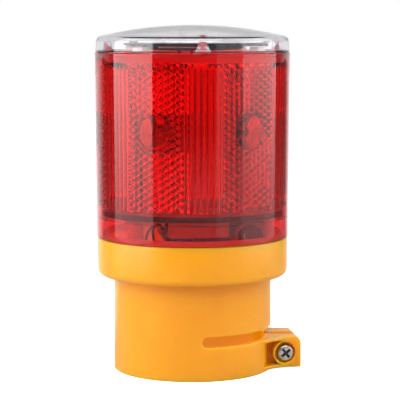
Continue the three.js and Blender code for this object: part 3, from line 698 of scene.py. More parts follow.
def optic_columns():
    """The angles of the lens's inner columns, each with its place in a window or in a flute."""
    columns = []
    pitch = 360 / WINDOWS
    band = pitch - 2 * WINDOW_HALF
    across = CELL_COLUMNS * 6
    steps = FLUTES * FLUTE_STEPS
    for n in range(WINDOWS):
        centre = FRONT + pitch / 2 + pitch * n
        edge = centre + WINDOW_HALF
        columns += [(centre + WINDOW_HALF * (2 * i / across - 1), "window", centre) for i in range(across + 1)]
        columns += [(edge + band * i / steps, "flute", (i % FLUTE_STEPS) / FLUTE_STEPS)
                    for i in range(1, steps)]
    return columns


def optic_rows():
    """The heights of the inner rows, from the top down, closer at the bull's-eyes and flutes' heads."""
    step = (OPTIC_HEAD - OPTIC_FOOT) / (2 * CELL_ROWS)
    rows = []
    for n in range(2 * CELL_ROWS):
        top = OPTIC_HEAD - n * step
        fine = abs(top - step / 2 - BULLS_EYE_HEIGHT) < BULLS_EYE + step or n < 2
        parts = 4 if fine else 1
        rows += [top - step * i / parts for i in range(parts)]
    return rows + [OPTIC_FOOT]


def optic_point(column, z):
    """Where the lens's inner surface lies, as (angle, radius, height)."""
    angle, kind, where = column
    if kind == "flute":
        rib = VALLEY - RIB * math.sin(math.pi * where)
        return angle, max(rib, VALLEY - RIB + RIB_SLOPE * (z - RIB_END)), z
    u = math.radians(angle - where) * WINDOW_ARC
    v = z - BULLS_EYE_HEIGHT
    away = math.hypot(u, v)
    if abs(away - BULLS_EYE) < 0.2:
        u, v = u * BULLS_EYE / away, v * BULLS_EYE / away
        away = BULLS_EYE
    if away <= BULLS_EYE:
        radius = BULLS_EYE_RIM - BULGE * (1 - (away / BULLS_EYE) ** 2)
        return where + math.degrees(u / WINDOW_ARC), radius, v + BULLS_EYE_HEIGHT
    column_width = 2 * math.radians(WINDOW_HALF) * WINDOW_ARC / CELL_COLUMNS
    relief = cube_corner(u, z - OPTIC_FOOT, column_width, (OPTIC_HEAD - OPTIC_FOOT) / CELL_ROWS)
    return angle, RELIEF_INNER + RELIEF_DEPTH * relief, z


def lens_rows(columns):
    """Rings of (angle, radius, height) round the lens's wall, with the first and last that are optics."""
    low, high = span("lens")
    outside = [
        (44.25, low.z), (44.5, low.z + 0.25), (44.5, 64.0), (44.42, 70.0), (44.42, 78.0), (44.6, 102.0),
        (44.77, 126.0), (44.86, 145.2), (high.x - 0.02, 145.4), (high.x - 0.02, high.z - 0.3),
        (high.x - 0.3, high.z),
    ]
    head = [(42.75, high.z), (42.75, 145.0), (42.0, 145.0), (42.0, OPTIC_HEAD + 0.4)]
    foot = [(42.55, OPTIC_FOOT - 0.05), (42.55, 72.4), (39.2, 72.4), (39.2, 71.0), (42.5, 71.0), (42.5, low.z)]
    above, below = ([[(a, r, z) for a, _, _ in columns] for r, z in part] for part in (outside + head, foot))
    optics = [[optic_point(column, z) for column in columns] for z in optic_rows()]
    return above + optics + below, len(above), len(above) + len(optics) - 1


def lens():
    columns = optic_columns()
    rows, first, last = lens_rows(columns)
    count = len(columns)
    points = []
    for row in rows:
        points += [(r * math.cos(math.radians(a)), r * math.sin(math.radians(a)), z) for a, r, z in row]
    faces = []
    for k in range(len(rows)):
        below = (k + 1) % len(rows)
        for i in range(count):
            j = (i + 1) % count
            a, b, c, d = k * count + i, k * count + j, below * count + j, below * count + i
            relief = first <= k < last and columns[i][1] == "window" and columns[j][1] == "window"
            if not relief:
                faces.append((a, b, c, d))
                continue
            middle = optic_point((sum(rows[k][m][0] for m in (i, j)) / 2, "window", columns[i][2]),
                                 (rows[k][i][2] + rows[below][i][2]) / 2)[1]
            slopes = [abs((rows[k][m][1] + rows[below][n][1]) / 2 - middle) for m, n in ((i, j), (j, i))]
            faces += [(a, b, c), (a, c, d)] if slopes[0] <= slopes[1] else [(a, b, d), (b, c, d)]
    piece = outward(mesh_object("lens_body", points, faces, looks["lens_plastic"], 30))
    finish_piece(piece, "lens")


# ---------------------------------------------------------------- cap
CAP_WALL = 1.6
DOME = 180.0
PEG_FLARE = 1.6


def cap():
    low, high = span("solar_cap")
    steps = [4 * n for n in range(11)]
    inner, outer = ([(r, apex - r * r / (2 * DOME)) for r in steps] for apex in (high.z - CAP_WALL, high.z))
    piece = turned("cap_body", [
        *inner, (41.4, 152.9), (42.2, 152.5), (42.65, 151.9), (42.8, 151.2), (42.8, 147.8), (41.5, 147.2),
        (41.5, low.z), (42.4, low.z), (42.4, 146.87), (44.35, 146.87), (44.58, 147.1), (44.56, 149.0),
        (44.46, 151.2), (44.3, 152.2), (44.02, 152.95), (43.55, 153.6), (42.95, 154.05), (42.2, 154.35),
        *reversed(outer),
    ], looks["cap_plastic"])
    pegs = []
    for n in range(4):
        a = math.radians(FRONT + 90 * n)
        flare = 0.0 if n else PEG_FLARE
        pegs.append(turned("peg", [
            (0, low.z + 0.3), (2.3, low.z + 0.3), (2.3, 146.5), (2.3 + flare, 147.0), (2.2 + flare, 147.4),
            (1.9 + 0.6 * flare, 149.0), (1.7 + 0.2 * flare, 150.6), (1.6, 151.4), (1.6, 153.9), (0, 153.9),
        ], looks["cap_plastic"], 16, PEG_RING * math.cos(a), PEG_RING * math.sin(a)))
    combine(piece, "UNION", *pegs)
    shade(piece.data)
    finish_piece(piece, "solar_cap")


# ---------------------------------------------------------------- housing
SKIRT_R = 36.5
SKIRT_BORE = 34.0
CEILING = 43.2
CUP_FLOOR = 46.0
COLLAR_R = 44.05
COLLAR_BORE = 40.8
COLLAR_FOOT = 44.0
COLLAR_TOP = 61.75
SLOT_LOW, SLOT_HIGH = 15.3, 20.3
EAR_FACE = 11.5
EAR_GAP = 6.0
EAR_TOP, EAR_FOOT = 15.2, 0.7
EAR_BLEND = 20.0
EAR_CORNER = 3.5
HOLE_X, HOLE_Z = 41.9, 7.6
SCREW_X, SCREW_Z = 42.5, 7.15
BOSS_R = 5.6
SINK_R = 4.9
LIP = 0.35  # rounding of moulded edges
FAR = 60.0  # past everything that a cutter has to clear
PILLARS = ((-28, -21), (-28, 21), (35.2, 0))
POSTS = ((-12.4, -17.5), (11.1, 11.2))
SUPPORTS = (  # places, radius, top, and the pilot hole's radius and foot
    (PILLARS, 3.5, 73.1, 1.4, 59.1),
    (POSTS, 2.6, 61.7, 1.05, 53.7),
)
SWITCH_X, SWITCH_Y = -19.0, 3.0


def lying_rod(name, r, x, z, back=-FAR, front=FAR, segments=64, material=None):
    return along_y(rod(name, r, back, front, segments, material=material), x, z)


def shell_body():
    collar = arc(COLLAR_R - 3.2, COLLAR_FOOT + 3.2, 3.2, -90, 0, 10)
    rim = arc(COLLAR_R - 0.5, COLLAR_TOP - 0.5, 0.5, 0, 90, 4)
    floor = arc(COLLAR_BORE - 1.5, CUP_FLOOR + 1.5, 1.5, 0, -90, 5)
    foot = arc(36.0, 0.6, 0.6, -90, 0, 4)
    root = [(SKIRT_R, 42.9), (36.58, 43.4), (36.85, 43.8), (37.35, COLLAR_FOOT)]
    return turned("housing_body", [
        (0, CEILING), (33.2, CEILING), (33.8, 42.6), (SKIRT_BORE, 0.5), (34.4, 0.0),
        *foot, *root, *collar, *rim,
        (43.4, COLLAR_TOP), (43.4, 61.2), (42.0, 61.2), (42.0, 64.0), (41.7, 64.3), (41.1, 64.3),
        (COLLAR_BORE, 64.0), *floor, (0, CUP_FLOOR),
    ], looks["housing_plastic"])


def ear(side):
    """An ear of the clamp, which flows out of the skirt. The side is -1 in front and 1 behind."""
    blend_y = EAR_FACE + EAR_BLEND
    blend_x = math.sqrt((SKIRT_R + EAR_BLEND) ** 2 - blend_y ** 2)
    start = 180 - math.degrees(math.atan2(blend_y, blend_x))
    root = (SKIRT_BORE + SKIRT_R) / 2 / (SKIRT_R + EAR_BLEND)
    reach = span("housing")[1].x
    outline = [
        (SKIRT_BORE + 0.3, -EAR_GAP / 2), (blend_x * root, -blend_y * root),
        *arc(blend_x, -blend_y, EAR_BLEND, start, 90, 24),
        *arc(reach - LIP, -EAR_FACE + LIP, LIP, -90, 0, 3),
        *arc(reach - LIP, -EAR_GAP / 2 - LIP, LIP, 0, 90, 3),
    ]
    return prism("ear", [(x, -side * y) for x, y in outline], EAR_FOOT, EAR_TOP, None, LIP)


def slot_cutter():
    """A ring that widens towards the outside, so that the slot's edges are rounded, and its round end."""
    out = [(SKIRT_R - LIP + 0.04 + LIP * math.sin(math.radians(a)), LIP - LIP * math.cos(math.radians(a)))
           for a in (0, 30, 60, 85)]
    top = [(r, SLOT_HIGH + grow) for r, grow in out]
    bottom = [(r, SLOT_LOW - grow) for r, grow in reversed(out)]
    ring = turned("slot_ring", [
        (30, SLOT_LOW), (30, SLOT_HIGH), *top, (FAR, top[-1][1]), (FAR, bottom[0][1]), *bottom,
    ])
    swung(ring, 180 / ROUND)
    half = (SLOT_HIGH - SLOT_LOW) / 2
    combine(ring, "INTERSECT", block("ahead", (half, -FAR, 0), (FAR, FAR, FAR)))
    mouth, wall = half + LIP, SKIRT_R + 0.02
    end = bar("slot_end", [
        (0, -wall - FAR), (mouth, -wall - FAR), *arc(mouth, LIP - wall, LIP, -90, -180, 3),
        *arc(mouth, wall - LIP, LIP, 180, 90, 3), (mouth, wall + FAR), (0, wall + FAR),
    ], half, SLOT_LOW + half)
    return ring, end


def ear_corner_cutter():
    """What is left of a block outside a round bar with rounded ends."""
    x, z = span("housing")[1].x - EAR_CORNER, EAR_TOP - EAR_CORNER
    past = EAR_FACE + 2.0
    flat = EAR_CORNER - LIP
    stay = [(0, -past), (flat, -past), *arc(flat, LIP - EAR_FACE, LIP, -90, 0, 3)]
    stay += [(r, -y) for r, y in reversed(stay)]
    corner = block("ear_corner", (x, -past + 1, z), (FAR, past - 1, FAR))
    return combine(corner, "DIFFERENCE", bar("ear_round", stay, x, z, 96))


def ear_pocket(side):
    """The pocket in an ear's outer face, between its ribs and round the boss of the screw hole."""
    start, end = sorted((side * 7.2, side * SKIRT_R))
    pocket = block("pocket", (30.6, start, 2.2), (HOLE_X, end, 13.5))
    wall = rod("pocket_wall", 35.3, -1, 20, ROUND)
    return combine(pocket, "DIFFERENCE", wall, lying_rod("pocket_boss", BOSS_R, HOLE_X, HOLE_Z))


def housing():
    body = shell_body()
    posts, pilots = [], []
    for places, r, top, pilot_r, pilot_foot in SUPPORTS:
        outline = [(0, 45), (r, 45), (r, top - 0.3), (r - 0.3, top), (0, top)]
        posts += [turned("post", outline, None, SMALL_ROUND, *place) for place in places]
        pilots += [rod("pilot", pilot_r, pilot_foot, 80, 24, *place) for place in places]
    combine(body, "UNION", ear(-1), ear(1), *posts)
    sink = [(0, 8.0), (SINK_R, 8.0), *arc(SINK_R + 0.25, EAR_FACE - 0.25, 0.25, 180, 90, 3)]
    half_gap = EAR_GAP / 2 - 0.01
    combine(
        body, "DIFFERENCE", ear_corner_cutter(), *slot_cutter(), ear_pocket(-1), ear_pocket(1),
        lying_rod("screw_hole", 3.0, HOLE_X, HOLE_Z),
        bar("sink", [*sink, (SINK_R + 0.25, FAR), (0, FAR)], HOLE_X, HOLE_Z, 64),
        lying_rod("nut_pocket", 7.6 / math.sqrt(3), SCREW_X, SCREW_Z, front=-5.5, segments=6),
        rod("switch_hole", 5.4, 40, 50, SMALL_ROUND, SWITCH_X, SWITCH_Y), *pilots,
        block("ear_gap", (28, -half_gap, -1), (FAR, half_gap, SLOT_LOW + 1)),
    )
    shade(body.data, 32)
    finish_piece(body, "housing")


# ---------------------------------------------------------------- clamp screw and nut
THREAD_PITCH = 0.7
HEAD_FLAT = 0.7  # share of the head's radius at which its dome's curve starts
HEAD_SIDE = 1.8
HEAD_RISE = 0.9
CROSS_REACH = 2.6
CROSS_HALF = 0.62
CROSS_DEPTH = 1.8
CROSS_TURN = 38
NUT_FLAT = 3.5


def cross_wing(face, angle):
    """One wing of the cross recess, narrower and shorter at its foot."""
    depth, foot = face - CROSS_DEPTH, CROSS_REACH * 0.62
    ridge = [(-CROSS_REACH, face + 0.1), (CROSS_REACH, face + 0.1), (foot, depth), (-foot, depth)]
    points = [(x, side * CROSS_HALF * (1.0 if z > face else 0.75), z) for side in (-1, 1) for x, z in ridge]
    sides = [(i, (i + 1) % 4, (i + 1) % 4 + 4, i + 4) for i in range(4)]
    return swung(outward(mesh_object("wing", points, [(0, 3, 2, 1), (4, 5, 6, 7), *sides])), angle)


def clamp_screw():
    steel = looks["screw_steel"]
    low, high = span("clamp_screw")
    tip, face = -high.y, -low.y
    seat = face - 2.7
    head = (high.x - low.x) / 2
    under = [(2.0, 6.8), (2.0, seat), (head - 0.15, seat), (head, seat + 0.2), (head, seat + 1.0),
             (head * 0.5, seat + 1.0)]
    shank = [circle(1.5, tip, 24), *thread(2.0, THREAD_PITCH, tip + 0.3, 6.5)]
    points, faces = loft(shank + [circle(r, z, 24) for r, z in under])
    shaft = outward(mesh_object("shaft", points, faces, steel, 30))
    dome = [(head * (HEAD_FLAT + (1 - HEAD_FLAT) * c), seat + HEAD_SIDE + HEAD_RISE * s)
            for c, s in arc(0, 0, 1, 0, 90, 8)]
    pan = turned("clamp_screw_body", [(0, seat + 0.25), (head, seat + 0.25), *dome, (0, face)], steel, 64)
    for n in (0, 1):
        combine(pan, "DIFFERENCE", cross_wing(face, CROSS_TURN + 90 * n))
    depth = face - CROSS_DEPTH
    centre = [(0, face + 0.1), (0.95, face + 0.1), (0.35, depth - 0.3), (0, depth - 0.5)]
    combine(pan, "DIFFERENCE", turned("recess_centre", centre, None, 16))
    combine(pan, "UNION", shaft)
    shade(pan.data, 35)
    # Faces inside the cross recess take a darker steel, a painted shade of the recess.
    pan.data.materials.append(looks["screw_recess_painted_shade"])
    for polygon in pan.data.polygons:
        middle = polygon.center / MM
        slope = max(0.0, middle.xy.length / head - HEAD_FLAT) / (1 - HEAD_FLAT)
        surface = seat + HEAD_SIDE + HEAD_RISE * math.sqrt(max(0.0, 1 - slope * slope))
        if seat + 1.0 < middle.z < surface - 0.06 and middle.xy.length < CROSS_REACH + 0.2:
            polygon.material_index = len(pan.data.materials) - 1
    finish_piece(along_y(pan, SCREW_X, SCREW_Z), "clamp_screw", "clamp_screw")


def hex_nut(name, across_flats, low, high, edge, edge_segments, bore, material, x=0.0, y=0.0):
    nut = rod(name, across_flats / math.sqrt(3), low, high, 6, x, y, material)
    combine(nut, "INTERSECT", turned("edge", edge, None, edge_segments, x, y))
    combine(nut, "DIFFERENCE", bore)
    shade(nut.data, 35)
    return nut


def clamp_nut():
    low, high = span("clamp_nut")
    back, front = -high.y, -low.y
    corner = 2 * NUT_FLAT / math.sqrt(3) + 0.05
    edge = [
        (0, back), (NUT_FLAT, back), (corner, back + 0.4),
        (corner, front - 0.4), (NUT_FLAT, front), (0, front),
    ]
    crests = [(r, back + z + 0.35 * k) for k in range(8) for r, z in ((2.25, 0.4), (2.12, 0.55))]
    inside = [(2.6, back - 0.1), (2.25, back + 0.25), *[(r, z) for r, z in crests if z < front - 0.3],
              (2.25, front - 0.25), (2.6, front + 0.1)]
    points, faces = loft([circle(r, z, 24) for r, z in inside])
    bore = outward(mesh_object("nut_bore", points, faces))
    nut = hex_nut("clamp_nut_body", 2 * NUT_FLAT, back, front, edge, 64, bore, looks["screw_steel"])
    finish_piece(along_y(nut, SCREW_X, SCREW_Z), "clamp_nut", "clamp_nut")


# ---------------------------------------------------------------- solar panel, its pads and carrier
PANEL_CORNER = 3.5
CARRIER_CORNER = 3.3
CELL_LAYER = 0.5


def cut_square(half, corner):
    """The outline of a square with its corners cut off, by its half side."""
    outline = []
    for sx, sy in ((1, 1), (-1, 1), (-1, -1), (1, -1)):
        ends = [(sx * half, sy * (half - corner)), (sx * (half - corner), sy * half)]
        outline += ends if sx * sy > 0 else ends[::-1]
    return outline


def solar_panel():
    low, high = span("solar_panel")
    edge, dark = looks["panel_edge"], looks["panel_corner"]
    half, top = high.x, high.z
    outline = cut_square(half, PANEL_CORNER)
    board = prism("panel_board", outline, low.z, top - CELL_LAYER, edge, 0.1)
    board.data.materials.append(dark)
    for polygon in board.data.polygons:
        away = min(abs(polygon.center.x), abs(polygon.center.y)) / MM
        if away > half - PANEL_CORNER and abs(polygon.normal.z) < 0.9:
            polygon.material_index = 1
    inner = [(x * 0.985, y * 0.985) for x, y in outline]
    face = prism("panel_cells", inner, top - CELL_LAYER, top, looks["solar_cells"], 0.15)
    for look in (edge, dark):
        face.data.materials.append(look)
    for polygon in face.data.polygons:
        if polygon.normal.z <= 0.9:
            polygon.material_index = 2 if min(abs(polygon.normal.x), abs(polygon.normal.y)) > 0.4 else 1
    for piece in (board, face):
        finish_piece(piece, "solar_panel")


def panel_pad(n):
    name = f"panel_pad_{n}"
    low, high = span(name)
    pad = slab(f"pad_{n}", (-2.5, -39, low.z), (2.5, -34, high.z), looks["pad_foam"])
    finish_piece(swung(pad, 45 + 90 * (n - 1)), name)


def panel_carrier():
    low, high = span("panel_carrier")
    outline = cut_square(high.x, CARRIER_CORNER)
    plate = prism("carrier_plate", outline, high.z - 1.3, high.z, looks["carrier_plastic"])
    dish = [(0, 0), (6, 0.04), (12, 0.2), (16, 0.45), (20, 0.9), (22.8, 1.5), (23.5, 2.0)]
    dish = [(r, low.z + rise) for r, rise in dish] + [(23.3, high.z - 1.0), (0, high.z - 1.0)]
    combine(plate, "UNION", turned("dish", dish))
    shade(plate.data, 35)
    finish_piece(plate, "panel_carrier")
    # A white bead along the dish's front left rim: a painted highlight that stands in for the left softbox's
    # reflection on the rim.
    bead = [(x, y, high.z - 1.75) for x, y in arc(0, 0, 23.7, FRONT - 46, FRONT + 2, 32)]
    finish_piece(tube("carrier_highlight_bead", bead, 0.3, looks["painted_highlight_white"]), "panel_carrier")


def seal(node, look, profile):
    finish_piece(turned(f"{node}_ring", profile, looks[look]), node)


# ---------------------------------------------------------------- light deck, strips and diodes
STRIP_ANGLES = [30 + 60 * n for n in range(6)]
LED_Z = 112.0
LED_BASE = 31.3
LED_R = 2.4


def light_deck():
    low, high = span("light_deck")
    r, foot, top = high.x, low.z, high.z
    disc = turned("deck_board", [
        (0, foot), (r - 0.15, foot), (r, foot + 0.15), (r, top - 0.15), (r - 0.15, top), (0, top),
    ], looks["deck_board"])
    holes = [rod("wire_hole", 5, 70, 80)]
    holes += [rod("deck_hole", 1.4, 70, 80, 24, *place) for place in PILLARS]
    holes += [swung(block("strip_slot", (-2.8, -31.3, 70), (2.8, -29.5, 80)), angle) for angle in STRIP_ANGLES]
    combine(disc, "DIFFERENCE", *holes)
    shade(disc.data)
    for look in ("deck_rim", "deck_under"):
        disc.data.materials.append(looks[look])
    for polygon in disc.data.polygons:
        if polygon.center.xy.length > (r - 0.2) * MM:
            polygon.material_index = 1
        elif polygon.normal.z < -0.9:
            polygon.material_index = 2
    finish_piece(disc, "light_deck")
    sunk = top - 0.05
    pad = [(1.6, sunk), (3.6, sunk), (3.6, top + 0.06), (1.6, top + 0.06)]
    joints = [turned("deck_pad", pad, looks["solder"], 32, *place) for place in PILLARS]
    for angle in STRIP_ANGLES:
        for x in (-1.8, 0.6):
            joint = slab("deck_joint", (x, -29.6, sunk), (x + 1.2, -28.4, top + 0.35), looks["solder"])
            joints.append(swung(joint, angle))
    finish_piece(join("deck_joints", joints), "light_deck")


def led_strip(n, angle):
    name = f"led_strip_{n}"
    low, high = span(name)
    board, solder = looks["strip_board"], looks["solder"]
    strip = slab(f"strip_{n}", (-4, -31.0, 75.3), (4, -29.8, high.z), board, 0.12, 2)
    combine(strip, "UNION", slab("tab", (-2.5, -30.98, low.z), (2.5, -29.82, 76), board, 0.12, 2))
    blobs = []
    for x in (-1.27, 1.27):
        blob = [(0, -0.1), (1.0, -0.1), (0.85, 0.12), (0.45, 0.45), (0.28, 0.8), (0, 0.85)]
        blobs.append(turned("blob", blob, solder, 16))
        blobs[-1].data.transform(shift(x, -29.8, LED_Z) @ turn(-90, "X"))
        blobs += [slab("chip", (x - 0.8, -31.4, z), (x + 0.8, -30.95, z + 1.6), solder, 0.12, 2)
                  for z in (79, 84)]
    for piece in (strip, join(f"strip_{n}_fittings", blobs)):
        finish_piece(swung(piece, angle), name)


def led(n, angle):
    name = f"led_{n}"
    base, rim, crown = LED_BASE, LED_BASE + 1.0, LED_BASE + 4.6
    metal = looks["contact_nickel"]
    dome = [(LED_R * c, crown + LED_R * s) for c, s in arc(0, 0, 1, 0, 90, 10)]
    dome[-1] = (0, crown + LED_R)
    body = turned(f"led_{n}_body", [
        (0, base), (2.75, base), (2.9, base + 0.15), (2.9, rim - 0.15), (2.75, rim), (LED_R, rim), *dome,
    ], looks["diode_epoxy"], 40)
    cup = [(0, 3.0), (0.55, 3.0), (1.0, 3.9), (0.8, 3.9), (0.4, 3.4), (0, 3.4)]
    frame_parts = [along_y(turned("cup", [(r, base + z) for r, z in cup], metal, 24), 0, LED_Z)]

    def lead_frame(left, right, reach, foot, material=metal, radius=0.1, title="post"):
        low, high = (left, -(base + reach), LED_Z - 0.25), (right, -(base + foot), LED_Z + 0.25)
        return slab(title, low, high, material, radius, 2)

    frame_parts += [lead_frame(-1.52, -0.2, 3.2, 0.3), lead_frame(0.75, 1.52, 3.6, 0.3)]
    die = lead_frame(-0.25, 0.25, 3.72, 3.45, looks["diode_die"], 0.05, f"led_{n}_die")
    for piece in (along_y(body, 0, LED_Z), join(f"led_{n}_frame", frame_parts), die):
        finish_piece(swung(piece, angle), name)


# ---------------------------------------------------------------- control board
def control_board():
    low, high = span("control_board")
    board = slab("board", low, high, looks["circuit_board"], 0.15, 2)
    combine(board, "DIFFERENCE", *[rod("board_hole", 1.05, 60, 66, 24, *place) for place in POSTS])
    shade(board.data)
    draw = random.Random(4)
    parts = []
    for k in range(16):
        x = low.x + 3 + (k % 4) * 6.2 + draw.uniform(-0.6, 0.6)
        y = -18 + (k // 4) * 4.6 + draw.uniform(-0.5, 0.5)
        if math.hypot(x + 9.5, y - 9) < 5 or math.hypot(x - 8.5, y - 3.5) < 5.5:
            continue
        near_corner, far_corner = (x - 0.8, y - 0.45, high.z - 0.03), (x + 0.8, y + 0.45, high.z + 0.4)
        parts.append(slab("resistor", near_corner, far_corner, looks["solder"], 0.12, 2))
    for piece in (board, join("board_passives", parts)):
        finish_piece(piece, "control_board")


def control_module():
    low, high = span("control_module")
    box = slab("module", low, high, looks["module_resin"], 0.4, 4)
    corners = (low.x - 1, low.y - 1, high.z - 2.2), (high.x + 1, low.y + 0.25, high.z - 1.9)
    groove = slab("groove", *corners, None, 0.05, 1)
    combine(box, "DIFFERENCE", groove)
    shade(box.data)
    finish_piece(box, "control_module")


def capacitor():
    low, high = span("capacitor")
    x, y = (low.x + high.x) / 2, (low.y + high.y) / 2
    z, top = low.z, high.z
    can = turned("capacitor_can", [
        (0, z), (3.0, z), (3.2, z + 0.25), (3.2, z + 0.9), (3.0, z + 1.1), (2.9, z + 1.3), (3.0, z + 1.5),
        (3.2, z + 1.7), (3.2, top - 0.4), (3.05, top - 0.1), (2.6, top - 0.02), (2.5, top - 0.15),
        (0, top - 0.15),
    ], looks["capacitor_sleeve"], SMALL_ROUND, x, y)
    finish_piece(can, "capacitor")
    lid = turned("capacitor_lid", [
        (0, top - 0.4), (2.45, top - 0.4), (2.45, top - 0.1), (0, top - 0.02),
    ], looks["contact_nickel"], SMALL_ROUND, x, y)
    corners = (x - 1.6, y - 0.08, top - 0.12), (x + 1.6, y + 0.08, top + 1)
    vents = [slab("vent", *corners, None, 0.02, 1) for n in (0, 1)]
    vents[1].data.transform(shift(x, y) @ turn(90, "Z") @ shift(-x, -y))
    combine(lid, "DIFFERENCE", *vents)
    shade(lid.data)
    finish_piece(lid, "capacitor")


def coil():
    low, high = span("coil")
    x, y = (low.x + high.x) / 2, (low.y + high.y) / 2
    z, top = low.z, high.z
    drum = turned("coil_drum", [
        (0, z), (3.7, z), (3.9, z + 0.2), (3.9, z + 0.9), (3.7, z + 1.1), (2.2, z + 1.1), (2.2, top - 1.1),
        (3.7, top - 1.1), (3.9, top - 0.9), (3.9, top - 0.2), (3.7, top), (0, top),
    ], looks["ferrite"], SMALL_ROUND, x, y)
    finish_piece(drum, "coil")
    turns = 10
    pitch = (top - z - 2.3) / turns
    wound = []
    for k in range(turns):
        wound += arc(3.1, z + 1.15 + pitch * (k + 0.5), pitch / 2, -80, 80, 6)
    outline = [(2.25, z + 1.15), *wound, (2.25, top - 1.15)]
    winding = turned("coil_winding", outline, looks["copper_winding"], SMALL_ROUND, x, y, 60)
    finish_piece(winding, "coil")


# ---------------------------------------------------------------- battery, holder and contacts
CELL_X, CELL_Z = 22.8, 64.3


def battery():
    low, high = span("battery")
    nub, back = -low.y, -high.y
    front = nub - 1.1
    r = (high.x - low.x) / 2
    jacket, metal = looks["battery_jacket"], looks["contact_nickel"]
    sleeve = bar("battery_sleeve", [
        (0, back + 0.15), (r - 1.0, back + 0.15), (r - 0.9, back), (r - 0.35, back), (r, back + 0.4),
        (r, front - 0.5), (r - 0.15, front - 0.15), (r - 0.5, front), (r - 1.6, front - 0.05),
        (r - 1.6, front - 0.3), (0, front - 0.3),
    ], CELL_X, CELL_Z, 96, jacket)
    ring = bar("battery_ring", [
        (0, front - 0.32), (r - 1.7, front - 0.32), (r - 1.7, front - 0.1), (3.1, front - 0.05),
        (3.1, front - 0.25), (0, front - 0.25),
    ], CELL_X, CELL_Z, 64, looks["holder_plastic"])
    button = bar("battery_button", [
        (0, front - 0.28), (2.95, front - 0.28), (2.95, front - 0.1), (2.7, front + 0.1), (2.65, nub - 0.25),
        (2.4, nub), (0, nub),
    ], CELL_X, CELL_Z, 48, metal)
    base = lying_rod("battery_base", r - 1.1, CELL_X, CELL_Z, back + 0.02, back + 0.2, 64, metal)
    for piece, slot in ((sleeve, "battery_jacket"), (ring, "battery_jacket"), (button, "contact_nickel"),
                        (base, "contact_nickel")):
        finish_piece(piece, "battery")


def battery_holder():
    """A tray with an open round clip, both cut to the cell's size."""
    black = looks["holder_plastic"]
    low, high = span("battery_holder")
    holder = slab("holder", (CELL_X - 4.5, low.y, low.z), (CELL_X + 4.5, high.y, 56.7), black, 0.4)
    inside = block("inside", (CELL_X - 3.0, low.y + 1.5, low.z - 1), (CELL_X + 3.0, high.y - 1.5, 53.7))
    combine(holder, "DIFFERENCE", inside)
    start, end = 132, 408
    clip = prism("clip", arc(0, 0, 8.4, start, end, 48) + arc(0, 0, 7.5, end, start, 48), -7, 7, black, 0.15)
    combine(holder, "UNION", along_y(clip, CELL_X, CELL_Z))
    combine(holder, "DIFFERENCE", lying_rod("trough", 7.5, CELL_X, CELL_Z, -40, 40, 96))
    shade(holder.data, 35)
    finish_piece(holder, "battery_holder")


def contact(name, look):
    low, high = span(name)
    plate = slab(f"{name}_plate", low, high, looks[look], 0.12, 2)
    dimple = turned("dimple", [(0, -0.4), (1.6, -0.4), (1.4, 0.1), (0.8, 0.16), (0, 0.18)], looks[look], 32)
    combine(plate, "UNION", along_y(dimple, CELL_X, CELL_Z, low.y if low.y < 0 else low.y + 0.1))
    shade(plate.data)
    finish_piece(plate, name)


def battery_spring():
    low, high = span("battery_spring")
    turns, per_turn = 2.6, 24
    r, wire = 2.7, 0.3
    steps = round(turns * per_turn)
    front, back = low.y + wire, high.y - wire
    points = []
    for i in range(steps + 1):
        a = 2 * math.pi * i / per_turn
        grow = r * (0.72 + 0.28 * i / steps)
        y = front + (back - front) * i / steps
        points.append((CELL_X + grow * math.cos(a), y, CELL_Z + grow * math.sin(a)))
    spring = tube("battery_spring_wire", points, wire, looks["contact_nickel"], 10)
    finish_piece(spring, "battery_spring")


# ---------------------------------------------------------------- switch
SWITCH_HALF = 6.2
BUTTON_R = 3.5


def switch_body():
    x, y = SWITCH_X, SWITCH_Y
    black = looks["holder_plastic"]
    low, high = span("switch_body")
    foot, top = low.z, high.z
    corners = (x - SWITCH_HALF, y - SWITCH_HALF, 46.3), (x + SWITCH_HALF, y + SWITCH_HALF, top)
    body = slab("switch_case", *corners, black, 0.35)
    ridges = [(4.75, 5.0)[k % 2] for k in range(21)]
    ridges = [(r, 45.9 - 0.35 * k) for k, r in enumerate(ridges)]
    outline = [(4.9, 46.6), *ridges, (4.9, foot + 0.2), (4.7, foot)]
    neck = mesh_object("switch_neck", *loft([circle(r, z, 32, x, y) for r, z in outline]), black, 25)
    combine(body, "UNION", outward(neck))
    bore = [(0, 30), (4.1, 30), (4.1, foot), (3.8, foot + 0.3), (3.8, 48.6), (0, 48.6)]
    combine(body, "DIFFERENCE", turned("switch_bore", bore, None, SMALL_ROUND, x, y))
    tags = [slab("tag", (tag - 0.25, y - 0.9, top - 0.5), (tag + 0.25, y + 0.9, top + 0.35), black, 0.08, 1)
            for tag in (x - 3.9, x + 3.9)]
    combine(body, "UNION", *tags)
    shade(body.data, 30)
    finish_piece(body, "switch_body")


def switch_button():
    low, high = span("switch_button")
    foot, top = low.z, high.z
    button = turned("button_cap", [
        (0, foot + 0.15), (1.6, foot + 0.1), (2.6, foot), (3.1, foot), (BUTTON_R - 0.1, foot + 0.2),
        (BUTTON_R, foot + 0.5), (BUTTON_R, top - 0.3), (3.2, top), (0, top),
    ], looks["button_plastic"], SMALL_ROUND, SWITCH_X, SWITCH_Y)
    finish_piece(button, "switch_button", "switch_button")


def switch_nut():
    low, high = span("switch_nut")
    foot, top = low.z, high.z
    edge = [(0, foot), (7.0, foot), (8.15, foot + 0.5), (8.15, top), (0, top)]
    hole = [
        (0, 30), (5.6, 30), (5.6, foot), (5.35, foot + 0.25),
        (5.35, top - 0.25), (5.6, top), (5.6, 60), (0, 60),
    ]
    bore = turned("nut_hole", hole, None, SMALL_ROUND, SWITCH_X, SWITCH_Y)
    metal = looks["contact_nickel"]
    nut = hex_nut("switch_nut_body", 14, foot, top, edge, 96, bore, metal, SWITCH_X, SWITCH_Y)
    finish_piece(nut, "switch_nut")


